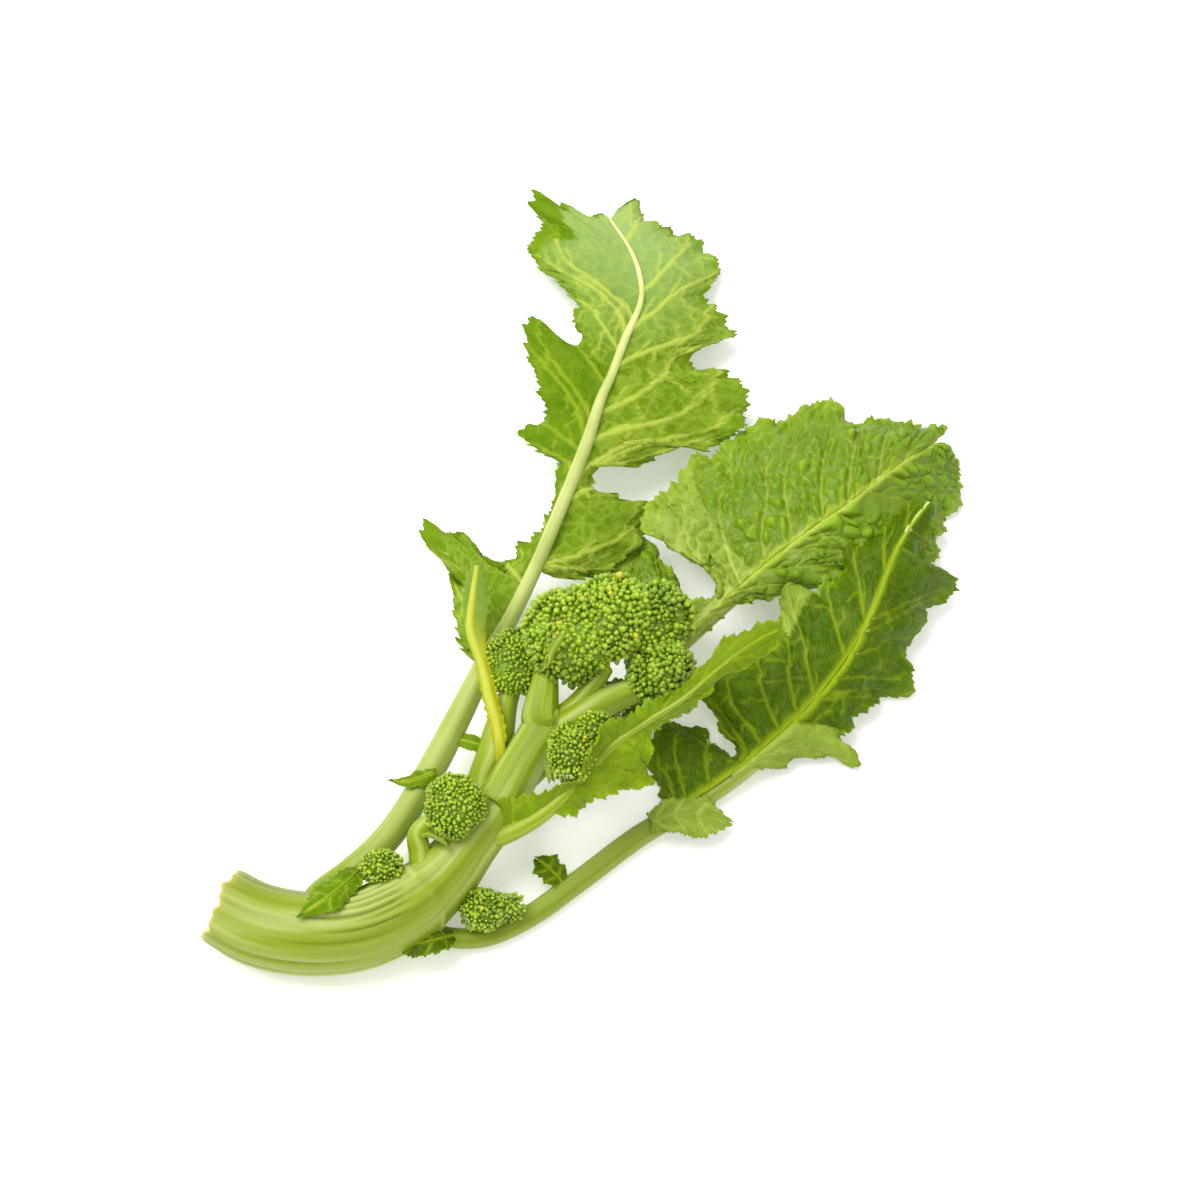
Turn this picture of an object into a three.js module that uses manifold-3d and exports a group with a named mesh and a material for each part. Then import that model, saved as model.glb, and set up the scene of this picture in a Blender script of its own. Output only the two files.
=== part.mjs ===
// Broccoli rabe sprig lying on its side: cut stem, forked flower head, side shoots and leaves.
// Millimetres, +Z up. Points are laid out about the middle of the sprig and the finished group
// is moved at the end so that its origin is the centre of the bottom of its box.
import * as THREE from 'three';
import Module from 'manifold-3d';

const wasm = await Module();
wasm.setup();

const CLEARANCE = 0.35;       // gap kept between neighbouring pieces
const BLADE_HALF = 0.5;       // half the thickness of a leaf blade
const BLADE_ROWS = 3;         // strips from midrib to leaf edge
const LEAF_TUBE_SIDES = 8;
const STEM_SIDES = 16;
const MIN_RADIUS = 0.75;      // thinnest midrib

// ---------------------------------------------------------------- centre lines: x, y, z, radius
const MAIN_STEM = [
  [-109, -96.5, 13, 11.4], [-97.5, -102, 12, 12], [-83.5, -104.5, 12, 12], [-69, -103, 12, 11.7],
  [-56.5, -97, 12.5, 11.4], [-46.5, -89, 14, 10.2], [-38, -79, 17, 8.4], [-30, -69, 20, 7.5],
  [-23.5, -57.5, 23, 6.6], [-16.5, -46, 26, 6.3],
];
const HEAD_STALK_LEFT = [
  [-17.5, -43.5, 28, 4.5], [-16.5, -36, 30.5, 3.9], [-15.5, -28, 32.5, 3.6], [-13, -23.5, 34, 3.3],
];
const HEAD_STALK_RIGHT = [
  [-11, -46, 26, 4.8], [-5.5, -43, 27.5, 4.8], [0.5, -39.5, 28.5, 4.5], [6.5, -37, 29, 3.9],
  [15, -34, 29, 3.3],
];
const LEFT_SHOOT_STALK = [
  [-34.5, -59.5, 17, 4.5], [-31, -51.5, 20, 5.1], [-29.5, -45, 22, 4.5], [-27.5, -37, 23, 3.3],
  [-25.5, -31, 24, 3],
];
const SHORT_SHOOT_STALK = [
  [-51.5, -87, 18, 3.6], [-52, -82.5, 20, 3.3], [-52.5, -78, 23, 3], [-48.5, -74.5, 25, 2.7],
];
const TALL = [
  [-81.5, -93.5, 13, 4.2], [-72.5, -86, 13, 4.5], [-64, -78, 13.5, 4.5], [-57, -68.5, 14, 4.5],
  [-49, -53.5, 15, 4.5], [-41, -37, 16.5, 4.5], [-33.5, -21, 18, 4.2], [-27, -8.5, 19, 3.9],
  [-19, 9, 21, 3.3], [-11.5, 28, 23, 2.9], [-4.5, 47.5, 24, 2.4], [0, 63.5, 23.5, 1.8],
  [3.5, 73, 22.5, 1.5], [7.5, 86.5, 20, 1.3], [12.5, 102.5, 15, 0.9], [12.5, 113.5, 12, 0.8],
  [9.5, 126, 8, 0.6], [3, 140, 4, 0.4],
];
const BROAD = [
  [-22, -61, 18, 2.4], [-11.5, -48, 14, 2.7], [0, -36, 11, 3], [15, -21, 11, 3.3],
  [30, -6.5, 13, 3.3], [45, 5.5, 17, 2.7], [60, 16.5, 22, 2.1], [75, 27.5, 24, 1.5],
  [89.5, 41.5, 20, 1.1], [103, 54, 12, 0.6],
];
const LONG = [
  [-49.5, -102, 6, 3], [-35, -103, 4.5, 3], [-20.5, -96, 3.5, 3.3], [-6, -85, 3.5, 3.3],
  [11.5, -71, 3.5, 3.3], [29.5, -60, 4, 3], [44, -50, 7, 3], [60.5, -36, 12, 2.7],
  [72, -23, 17, 2.2], [79.5, -10, 22, 1.8], [87, 9, 24, 1.3], [93.5, 21, 23.5, 0.9],
  [99, 29, 22, 0.6],
];
const FRONT = [
  [-29, -78, 21, 3.3], [-17.5, -74, 27, 3], [-7.5, -66.5, 32, 2.7], [2.5, -57.5, 37, 2.1],
  [13, -50.5, 40, 1.8], [23, -44.5, 42, 1.5], [33, -35.5, 42, 1.2], [43.5, -26, 40, 0.9],
  [53.5, -19.5, 38, 0.6],
];
const YELLOW = [
  [-29, -53, 27, 1.5], [-30, -46, 28, 1.8], [-32, -38.5, 28.5, 1.8], [-34.5, -27.5, 29, 1.8],
  [-38, -16.5, 30, 1.5], [-37.5, -6, 31, 1.2], [-36.5, 3.5, 31, 0.9],
];

// ---------------------------------------------------------------- leaflets: x, y, z, half width
const TALL_DART = [
  [-47.5, -57, 19, 1.5], [-52.5, -59.5, 19.5, 2.7], [-57, -60.5, 19, 1.5], [-61.5, -59.5, 18, 0.3],
];
const TALL_STRAP = [
  [-68.5, -85, 15, 1.5], [-72, -92, 22, 3.6], [-78, -99, 26, 4.5], [-85.5, -104, 25.5, 1.8],
];
const LONG_ROUND = [
  [-10, -88, 4, 0.9], [-12.5, -85, 5.5, 3.3], [-16, -82, 7, 3.9], [-18.5, -80, 7, 1.5],
];
const LONG_BASE = [
  [-42, -103, 6.5, 1.5], [-47.5, -106.5, 11.5, 3.9], [-54.5, -108, 12, 3.6], [-61, -106, 11, 0.9],
];
const LONG_PALE = [
  [14, -68.5, 7.5, 3], [21, -66.5, 8, 5.7], [30, -67, 7, 6.3], [38, -67.5, 4, 1.5],
];
const TALL_BACK = [
  [-43.5, -45, 15.5, 1.2], [-39, -47, 17, 2.4], [-35.5, -48, 17, 2.1], [-32, -48.5, 16, 0.6],
];
const CROWN_BRACT = [
  [-15.5, -34.5, 42.5, 0.9], [-14, -30.5, 45.5, 1.2], [-12, -28, 47.5, 1.1], [-10, -26, 48.5, 0.4],
];
const SHORT_SHOOT_BRACT = [
  [-53.5, -79.5, 24, 0.9], [-49.5, -79, 26, 1.2], [-45.5, -81, 27, 1.2], [-43.5, -83.5, 27, 0.4],
];
const FRONT_SHOOT_BRACT = [
  [-14, -65.5, 30.5, 0.8], [-15, -61, 32, 1.2], [-14, -57, 34, 1.2], [-12, -54.5, 36, 0.4],
];

// ---------------------------------------------------------------- leaf edges: station on the
// midrib that the edge point hangs from, then x, y, z
const TALL_RIGHT = [
  [7.9, -16.5, 10.5, 19], [8, -12, 7, 17], [8.2, 0, 8, 14], [8.5, 12, 19.5, 13],
  [8.8, 15.5, 32.5, 14], [9.1, 6.5, 32.5, 17], [9.3, -2, 36, 20], [9.5, 0, 44.5, 20],
  [9.7, 12, 44.5, 16], [10, 22, 52, 14], [10.3, 31.5, 51.5, 13], [10.6, 43.5, 60.5, 10],
  [10.9, 46, 70.5, 10], [11.2, 43.5, 76.5, 11], [11.6, 34.5, 79.5, 13], [11.9, 28, 83.5, 14],
  [12.3, 32.5, 88.5, 12], [12.8, 43.5, 96, 8], [13.2, 36, 102.5, 9], [13.7, 33, 109.5, 8],
  [14.3, 38, 120, 5], [14.9, 34.5, 129, 3], [15.4, 32, 135, 2], [16, 21.5, 136, 3],
  [16.6, 14.5, 140.5, 3], [16.9, 12.5, 147, 2], [17, 6.5, 144.5, 3],
];
const TALL_LEFT = [
  [5.9, -36.5, -24.5, 17], [6.1, -42.5, -11.5, 14], [6.3, -44.5, -0.5, 12], [6.5, -46.5, 14.5, 9],
  [6.8, -55, 26, 6], [7.1, -53, 31, 6], [7.4, -44.5, 25.5, 9], [7.7, -36, 15.5, 13],
  [7.9, -28, 12.5, 17], [8.3, -21, 18.5, 19], [8.8, -15.5, 28, 21], [9.3, -13.5, 35.5, 21],
  [9.6, -13, 43.5, 19], [9.9, -24, 54.5, 14], [10.3, -23.5, 59, 14], [10.6, -17, 62.5, 17],
  [10.9, -18.5, 71, 19], [11.2, -23.5, 84.5, 20], [11.6, -21.5, 93.5, 20], [12, -12, 86.5, 19],
  [12.4, -5.5, 87.5, 18], [12.8, -9, 98, 16], [13.3, -7.5, 103, 14], [13.8, -13, 112, 11],
  [14.4, -23, 125, 7], [14.9, -21.5, 131.5, 6], [15.2, -18, 136, 6], [15.4, -22.5, 143, 6],
  [15.7, -20, 148.5, 5], [15.9, -14.5, 144.5, 5], [16.2, -11, 145, 4], [16.5, -6.5, 143, 3],
  [16.8, -2, 140.5, 3], [17, 1, 142, 3.5],
];
const BROAD_UPPER = [
  [2.7, 8, -22, 11], [2.9, 3, 1, 9], [3.1, 0.5, 16, 8], [3.3, 12, 23.5, 9], [3.6, 18, 15, 11],
  [3.85, 25.5, 2, 12], [4.1, 34.5, 0.5, 14], [4.3, 37.5, 8, 18], [4.5, 30, 10.5, 19],
  [4.7, 19.5, 16.5, 19], [4.9, 12.5, 23.5, 17], [5.1, 13.5, 29.5, 14], [5.4, 22, 41, 13],
  [5.7, 27.5, 48, 12], [6, 33, 48, 12], [6.3, 43.5, 59, 10], [6.6, 54, 62.5, 10], [7, 65.5, 70, 8],
  [7.3, 72, 71, 8], [7.5, 77.5, 65, 9], [7.7, 81.5, 63, 9], [8, 89.5, 65.5, 7], [8.3, 94.5, 64, 7],
  [8.6, 104, 63, 6], [9, 105, 58.5, 8],
];
const BROAD_LOWER = [
  [3.8, 30, -11, 13], [4.3, 40.5, -1, 14], [4.8, 55.5, 2, 16], [5.2, 68.5, 5, 17],
  [5.6, 71.5, 8, 18], [6, 78, 9, 16], [6.5, 87.5, 8.5, 12], [7, 99, 15.5, 6], [7.4, 104, 21, 4],
  [7.7, 102, 25, 5], [8.1, 107.5, 34.5, 2], [8.4, 110.5, 41.5, 1], [8.7, 111, 46, 1.5],
  [8.9, 109.5, 53.5, 4], [9, 106.5, 55, 8],
];
const LONG_RIGHT = [
  [5.6, 37.5, -55, 4.5], [5.9, 49, -49.5, 4.5], [6.1, 59, -47, 4.5], [6.4, 68, -46.5, 3.5],
  [6.6, 73.5, -48.5, 1.5], [6.8, 76.5, -47.5, 2.5], [7, 71, -41, 8], [7.3, 74, -41, 8],
  [7.6, 78, -33.5, 8], [7.9, 85, -28, 4], [8.1, 93, -25, 1.5], [8.4, 94, -21.5, 4],
  [8.7, 91, -16.5, 9], [9, 95.5, -9.5, 8], [9.2, 98, -1.5, 9], [9.4, 104.5, 3, 7],
  [9.7, 109.5, 7.5, 6], [9.9, 107.5, 9.5, 9], [10.3, 97.5, 8, 15], [10.7, 95, 14, 19],
  [11.2, 97, 18.5, 20], [11.7, 101.5, 27, 20], [12, 100.5, 29.5, 21.5],
];
const LONG_LEFT = [
  [4.5, 21, -61.5, 3], [4.75, 15.5, -55, 3], [5, 13.5, -44.5, 3.5], [5.2, 19, -35.5, 4.5],
  [5.4, 27.5, -37, 5], [5.6, 30.5, -42, 5.5], [5.75, 34.5, -42.5, 6], [5.95, 37.5, -50, 7],
  [6.1, 40, -44, 8], [6.3, 34, -36.5, 8], [6.5, 28, -25.5, 9], [6.7, 30.5, -21, 10],
  [6.9, 40, -20, 11], [7.1, 44, -16.5, 12], [7.3, 51, -14, 14], [7.6, 53, -7.5, 17],
  [7.9, 52.5, -2, 19], [8.2, 56.5, 2, 20], [8.6, 64, 0.5, 21], [9, 71.5, 6, 21], [9.3, 75, 14, 20],
  [9.7, 81, 21, 20], [10.2, 86, 24.5, 20], [10.8, 91, 29.5, 20], [11.4, 95.5, 30.5, 21],
  [12, 97.5, 31, 21.5],
];
const FRONT_LEFT = [
  [0.1, -32.5, -66.5, 28.5], [0.5, -27.5, -71, 29.5], [0.9, -22.5, -70, 31],
  [1.4, -14.5, -68.5, 33], [1.9, -6.5, -64.5, 34], [2.3, -3, -60, 35], [2.6, -3.5, -55, 36],
  [3, 0, -51, 36], [3.6, 7, -49.5, 38], [4.2, 14, -44, 40], [4.7, 21.5, -40.5, 41],
  [5.3, 28.5, -33, 41], [6, 34, -26, 40], [6.7, 40.5, -20.5, 38], [7.4, 46.5, -18.5, 38],
  [8, 53, -18, 38],
];
const FRONT_RIGHT = [
  [1.3, -13, -74, 28], [1.7, -7, -73.5, 27], [2.1, -2.5, -70.5, 30], [2.5, 5, -68, 31],
  [3, 16, -65.5, 30], [3.4, 13.5, -59, 33], [3.8, 13, -53.5, 36], [4.3, 19.5, -49.5, 37],
  [4.8, 26.5, -47, 38], [5.3, 29.5, -40.5, 39], [6, 41, -32, 38], [6.8, 48, -27.5, 37],
  [7.5, 52.5, -23, 37], [8, 55, -21, 37.5],
];
const YELLOW_LEFT = [
  [3.3, -37, -24.5, 29], [4, -40, -15, 29.5], [4.6, -41, -7, 30], [5.3, -40, -0.5, 31],
  [6, -38, 5, 31],
];
const YELLOW_RIGHT = [
  [3.3, -33.5, -23, 29.5], [4.2, -33.5, -14, 30], [4.8, -32.5, -7, 30.5], [5.4, -33.5, -1, 31],
  [6, -35, 5, 31],
];

// ---------------------------------------------------------------- small vector helpers
const vec = (p) => new THREE.Vector3(p[0], p[1], p[2]);
const last = (list) => list[list.length - 1];

// point and radius at a fractional station of a centre line
function along(line, station) {
  const i = Math.min(Math.floor(station), line.length - 2);
  const f = station - i;
  const p = vec(line[i]).lerp(vec(line[i + 1]), f);
  return { p, r: line[i][3] * (1 - f) + line[i + 1][3] * f };
}

function toManifold(points, faces) {
  const vertProperties = new Float32Array(points.length * 3);
  points.forEach((p, i) => vertProperties.set([p.x, p.y, p.z], i * 3));
  const triVerts = new Uint32Array(faces.flat());
  return new wasm.Manifold(new wasm.Mesh({ numProp: 3, vertProperties, triVerts }));
}

// closed skin over a stack of rings that all have the same number of points
function skin(rings) {
  const n = rings[0].length;
  const points = rings.flat();
  const faces = [];
  for (let i = 0; i + 1 < rings.length; i++) {
    for (let k = 0; k < n; k++) {
      const a = i * n + k, b = i * n + (k + 1) % n;
      faces.push([a, b, b + n], [a, b + n, a + n]);
    }
  }
  const cap = (ring, start, flip) => {
    const c = points.length;
    points.push(ring.reduce((s, p) => s.add(p), new THREE.Vector3()).divideScalar(n));
    for (let k = 0; k < n; k++) {
      const a = start + k, b = start + (k + 1) % n;
      faces.push(flip ? [c, b, a] : [c, a, b]);
    }
  };
  cap(rings[0], 0, true);
  cap(last(rings), points.length - 1 - n, false);
  return toManifold(points, faces);
}

// ---------------------------------------------------------------- round pieces along a line
// grow widens the tube and lengthens both ends by the same amount
function tube(line, sides, grow = 0, groove = 0) {
  const pts = line.map(vec);
  const dirs = pts.map((p, i) => {
    const a = pts[Math.max(i - 1, 0)], b = pts[Math.min(i + 1, pts.length - 1)];
    return b.clone().sub(a).normalize();
  });
  pts[0] = pts[0].clone().addScaledVector(dirs[0], -grow);
  pts[pts.length - 1] = last(pts).clone().addScaledVector(last(dirs), grow);
  const up = new THREE.Vector3(0, 0, 1);
  const rings = pts.map((p, i) => {
    const side = new THREE.Vector3().crossVectors(up, dirs[i]).normalize();
    const top = new THREE.Vector3().crossVectors(dirs[i], side);
    const r = Math.max(line[i][3], MIN_RADIUS) + grow;
    return Array.from({ length: sides }, (_, k) => {
      const a = (k + 0.5) / sides * 2 * Math.PI;
      const rk = r * (1 - groove * (k % 2));
      return p.clone().addScaledVector(side, rk * Math.cos(a)).addScaledVector(top, rk * Math.sin(a));
    });
  });
  return skin(rings);
}

// ---------------------------------------------------------------- leaf blades
// a slab from the midrib out to the edge points; lift bends its middle up
function blade(line, edge, lift, grow = 0) {
  const half = BLADE_HALF + grow;
  const grid = edge.map(([at, x, y, z]) => {
    const root = along(line, at).p;
    const out = new THREE.Vector3(x, y, z).sub(root);
    const reach = 1 + grow / out.length();
    return Array.from({ length: BLADE_ROWS + 1 }, (_, j) => {
      const s = j / BLADE_ROWS;
      const p = root.clone().addScaledVector(out, s === 1 ? reach : s);
      p.z += lift * 4 * s * (1 - s);
      return p;
    });
  });
  const cols = grid.length, rows = BLADE_ROWS + 1;
  const normal = (i, j) => {
    const a = grid[Math.max(i - 1, 0)][j], b = grid[Math.min(i + 1, cols - 1)][j];
    const c = grid[i][Math.max(j - 1, 0)], d = grid[i][Math.min(j + 1, rows - 1)];
    return b.clone().sub(a).cross(d.clone().sub(c)).normalize();
  };
  const points = [];
  for (const sign of [1, -1]) {
    for (let i = 0; i < cols; i++) {
      for (let j = 0; j < rows; j++) {
        points.push(grid[i][j].clone().addScaledVector(normal(i, j), sign * half));
      }
    }
  }
  const at = (i, j, under) => i * rows + j + (under ? cols * rows : 0);
  const faces = [];
  for (let i = 0; i + 1 < cols; i++) {
    for (let j = 0; j + 1 < rows; j++) {
      faces.push([at(i, j), at(i + 1, j), at(i + 1, j + 1)], [at(i, j), at(i + 1, j + 1), at(i, j + 1)]);
      faces.push([at(i, j, 1), at(i + 1, j + 1, 1), at(i + 1, j, 1)]);
      faces.push([at(i, j, 1), at(i, j + 1, 1), at(i + 1, j + 1, 1)]);
    }
  }
  const rim = [];
  for (let i = 0; i < cols; i++) rim.push([i, 0]);
  for (let j = 1; j < rows; j++) rim.push([cols - 1, j]);
  for (let i = cols - 2; i >= 0; i--) rim.push([i, rows - 1]);
  for (let j = rows - 2; j > 0; j--) rim.push([0, j]);
  rim.forEach(([i, j], k) => {
    const [p, q] = rim[(k + 1) % rim.length];
    faces.push([at(p, q), at(i, j), at(i, j, 1)], [at(p, q), at(i, j, 1), at(p, q, 1)]);
  });
  return toManifold(points, faces);
}

// a small flat leaflet whose half width is given at each point of its centre line
function leaflet(line, grow = 0) {
  const pts = line.map(vec);
  const rings = pts.map((p, i) => {
    const dir = pts[Math.min(i + 1, pts.length - 1)].clone().sub(pts[Math.max(i - 1, 0)]).normalize();
    const side = new THREE.Vector3(-dir.y, dir.x, 0).normalize();
    const top = new THREE.Vector3().crossVectors(dir, side);
    const c = p.clone().addScaledVector(dir, i === 0 ? -grow : i === pts.length - 1 ? grow : 0);
    const w = line[i][3] + grow, h = BLADE_HALF + grow;
    return [[1, 0], [0.5, 1], [-0.5, 1], [-1, 0], [-0.5, -1], [0.5, -1]].map(([a, b]) =>
      c.clone().addScaledVector(side, a * w).addScaledVector(top, b * h));
  });
  return skin(rings);
}

// ---------------------------------------------------------------- flower heads
// a lumpy dome of buds: centre x, y, z and its half sizes along x, y, z
function dome([x, y, z], [rx, ry, rz], grow = 0) {
  const turns = 18, levels = 9;
  const rings = [];
  for (let i = 1; i < levels; i++) {
    const phi = Math.PI * i / levels;
    rings.push(Array.from({ length: turns }, (_, k) => {
      const th = 2 * Math.PI * k / turns;
      const lump = 1 + 0.06 * Math.cos(6 * th + i) * Math.sin(phi);
      const sx = Math.sin(phi) * Math.cos(th) * lump, sy = Math.sin(phi) * Math.sin(th) * lump;
      return new THREE.Vector3(x + sx * (rx + grow), y + sy * (ry + grow), z - Math.cos(phi) * (rz + grow));
    }));
  }
  return skin(rings);
}

// ---------------------------------------------------------------- the pieces
const leaf = (line, halves, leaflets = []) => (grow) => [
  tube(line, LEAF_TUBE_SIDES, grow),
  ...halves.map(([edge, lift]) => blade(line, edge, lift, grow)),
  ...leaflets.map((l) => leaflet(l, grow)),
];
const heads = (...domes) => (grow) => domes.map(([c, r]) => dome(c, r, grow));

const STEM_GREEN = 0xa9b968, STALK_GREEN = 0xb4c47c, BUD_GREEN = 0x4c6b3a;
const LEAF_UPPER = 0x3f6a2c, LEAF_UNDER = 0x7d9a6c, LEAF_YOUNG = 0xa9b84a, PALE = 0xd6cf84;

// name, colour, builder; earlier pieces keep their full shape and later ones stop short of them
const PIECES = [
  ['main_stem', STEM_GREEN, (g) => [tube(MAIN_STEM, STEM_SIDES, g, 0.03)]],
  ['head_stalk_left', STALK_GREEN, (g) => [tube(HEAD_STALK_LEFT, 10, g)]],
  ['head_stalk_right', STALK_GREEN, (g) => [tube(HEAD_STALK_RIGHT, 10, g)]],
  ['left_shoot_stalk', STALK_GREEN, (g) => [tube(LEFT_SHOOT_STALK, 10, g)]],
  ['short_shoot_stalk', STALK_GREEN, (g) => [tube(SHORT_SHOOT_STALK, 10, g)]],
  ['crown_florets_left', BUD_GREEN, heads([[-8.5, -21, 35], [14.5, 15, 10]])],
  ['crown_florets_centre', BUD_GREEN, heads([[4, -16, 36.5], [12.5, 13.5, 10]])],
  ['crown_florets_right_upper', BUD_GREEN, heads([[15, -15, 33], [11.5, 11.5, 9]])],
  ['crown_florets_right_lower', BUD_GREEN, heads([[17.5, -30, 31], [9.5, 10.5, 8.5]])],
  ['crown_bract', PALE, (g) => [leaflet(CROWN_BRACT, g)]],
  ['left_shoot_florets', BUD_GREEN, heads([[-25, -26, 26], [9.5, 10.5, 8]])],
  ['short_shoot_florets', BUD_GREEN, heads([[-42, -71.5, 28.5], [8.5, 9.5, 7.5]])],
  ['short_shoot_bract', PALE, (g) => [leaflet(SHORT_SHOOT_BRACT, g)]],
  ['front_shoot_florets', BUD_GREEN,
    heads([[-7.5, -57, 37], [6.5, 8.5, 6]], [[-0.5, -51, 38], [4.5, 4.5, 4]])],
  ['front_shoot_bract', PALE, (g) => [leaflet(FRONT_SHOOT_BRACT, g)]],
  ['axil_florets_tall_leaf', BUD_GREEN, heads([[-63, -87.5, 21.5], [5, 4, 3.2]])],
  ['axil_florets_long_leaf', BUD_GREEN,
    heads([[-34, -97, 11.5], [5.5, 5.5, 4.5]], [[-27.5, -95.5, 10], [5, 2.8, 2.5]])],
  ['tall_leaf', LEAF_UNDER,
    leaf(TALL, [[TALL_RIGHT, 2], [TALL_LEFT, 2]], [TALL_DART, TALL_STRAP, TALL_BACK])],
  ['broad_leaf', LEAF_UPPER, leaf(BROAD, [[BROAD_UPPER, 3], [BROAD_LOWER, 2]])],
  ['long_leaf', LEAF_UPPER,
    leaf(LONG, [[LONG_RIGHT, 2], [LONG_LEFT, 2]], [LONG_ROUND, LONG_BASE, LONG_PALE])],
  ['front_leaf', LEAF_YOUNG, leaf(FRONT, [[FRONT_LEFT, 0.5], [FRONT_RIGHT, 0.5]])],
  ['yellow_leaf', PALE, leaf(YELLOW, [[YELLOW_LEFT, 0.3], [YELLOW_RIGHT, 0.3]])],
];

// ---------------------------------------------------------------- join, trim and place
const joined = (solids) => solids.reduce((a, b) => a.add(b));
const biggest = (solid) => solid.decompose().sort((a, b) => b.volume() - a.volume())[0];

const placed = [];
for (const [name, colour, build] of PIECES) {
  let solid = joined(build(0));
  for (const other of placed) solid = solid.subtract(other.cutter);
  placed.push({ name, colour, solid: biggest(solid), cutter: joined(build(CLEARANCE)) });
}

const box = new THREE.Box3();
for (const { solid } of placed) {
  const { min, max } = solid.boundingBox();
  box.expandByPoint(vec(min)).expandByPoint(vec(max));
}
const shift = new THREE.Vector3((box.min.x + box.max.x) / 2, (box.min.y + box.max.y) / 2, box.min.z);

const group = new THREE.Group();
for (const { name, colour, solid } of placed) {
  const mesh = solid.getMesh();
  const geometry = new THREE.BufferGeometry();
  geometry.setAttribute('position', new THREE.BufferAttribute(mesh.vertProperties.slice(), 3));
  geometry.setIndex(new THREE.BufferAttribute(mesh.triVerts.slice(), 1));
  geometry.translate(-shift.x, -shift.y, -shift.z);
  geometry.computeVertexNormals();
  const material = new THREE.MeshStandardMaterial({ color: colour, roughness: 0.6, metalness: 0 });
  const piece = new THREE.Mesh(geometry, material);
  piece.name = name;
  group.add(piece);
}

export default group;
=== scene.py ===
# %% [markdown]
# # A sprig of broccoli rabe
# A cut sprig lying on a table: a thick ribbed stem that forks under a head of closed
# flower buds, a few side shoots, and big lobed leaves, one of them turned underside up.
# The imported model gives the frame; each plain solid in it gets a finer piece here.

# %% Load the frame
import bpy, bmesh, math
import numpy as np
from mathutils import Matrix, Vector, kdtree, noise


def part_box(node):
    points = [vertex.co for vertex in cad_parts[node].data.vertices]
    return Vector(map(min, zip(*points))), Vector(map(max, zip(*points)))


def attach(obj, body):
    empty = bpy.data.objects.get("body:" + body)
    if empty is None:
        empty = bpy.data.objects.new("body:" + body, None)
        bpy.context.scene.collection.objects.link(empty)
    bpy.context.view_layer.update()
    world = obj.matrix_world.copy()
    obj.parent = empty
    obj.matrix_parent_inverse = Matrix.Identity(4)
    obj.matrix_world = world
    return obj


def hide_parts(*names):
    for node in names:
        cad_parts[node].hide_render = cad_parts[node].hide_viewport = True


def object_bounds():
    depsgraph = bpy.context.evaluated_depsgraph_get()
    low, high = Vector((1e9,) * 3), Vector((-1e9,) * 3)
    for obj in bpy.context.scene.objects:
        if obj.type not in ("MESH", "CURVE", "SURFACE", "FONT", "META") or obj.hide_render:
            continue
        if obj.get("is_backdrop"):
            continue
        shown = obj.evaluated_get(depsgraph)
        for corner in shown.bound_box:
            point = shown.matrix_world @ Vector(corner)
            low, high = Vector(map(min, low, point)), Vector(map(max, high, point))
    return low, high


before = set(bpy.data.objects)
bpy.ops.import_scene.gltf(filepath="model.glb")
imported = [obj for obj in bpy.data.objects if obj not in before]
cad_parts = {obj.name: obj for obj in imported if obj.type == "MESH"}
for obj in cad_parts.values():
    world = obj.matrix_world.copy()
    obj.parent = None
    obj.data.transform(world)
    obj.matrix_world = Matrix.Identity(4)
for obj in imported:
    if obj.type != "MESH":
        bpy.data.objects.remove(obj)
cad_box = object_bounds()
print("frame box", cad_box)

# %% [markdown]
# The lines and edges below are laid out in millimetres about the middle of the sprig.
# The stem is the one solid nothing trims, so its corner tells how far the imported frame
# is shifted from that layout.

# %% Shift from the layout to the frame
MM = 0.001
# lowest x, y and z of the stem in the layout, mm
STEM_CORNER = np.array([-113.981, -116.262, 0.231])
shift = np.array(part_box("main_stem")[0]) - STEM_CORNER * MM
print("shift in mm", (shift / MM).round(2))


def place(points):
    """Millimetres of the layout to metres of the frame."""
    return np.asarray(points, float)[..., :3] * MM + shift


# %% [markdown]
# Every stalk, petiole and midrib is a line of points x, y, z with a radius. A leaf edge
# is a line of points too, and its first number is the place on the midrib, counted in
# midrib points, that the edge point hangs from. A sixth number, where given, says how
# far the leaf shows its other face there.

# %% Centre lines
MAIN_STEM = [
  [-109, -96.5, 13, 11.4], [-97.5, -102, 12, 12], [-83.5, -104.5, 12, 12], [-69, -103, 12, 11.7],
  [-56.5, -97, 12.5, 11.4], [-46.5, -89, 14, 10.2], [-38, -79, 17, 8.4], [-30, -69, 20, 7.5],
  [-23.5, -57.5, 23, 6.6], [-16.5, -46, 26, 6.3],
]
HEAD_STALK_LEFT = [
  [-17.5, -43.5, 28, 4.5], [-16.5, -36, 30.5, 3.9], [-15.5, -28, 32.5, 3.6], [-13, -23.5, 34, 3.3],
]
HEAD_STALK_RIGHT = [
  [-11, -46, 26, 4.8], [-5.5, -43, 27.5, 4.8], [0.5, -39.5, 28.5, 4.5], [6.5, -37, 29, 3.9],
  [15, -34, 29, 3.3],
]
LEFT_SHOOT_STALK = [
  [-34.5, -59.5, 17, 4.5], [-31, -51.5, 20, 5.1], [-29.5, -45, 22, 4.5], [-27.5, -37, 23, 3.3],
  [-25.5, -31, 24, 3],
]
SHORT_SHOOT_STALK = [
  [-51.5, -87, 18, 3.6], [-52, -82.5, 20, 3.3], [-52.5, -78, 23, 3], [-48.5, -74.5, 25, 2.7],
]
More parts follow.
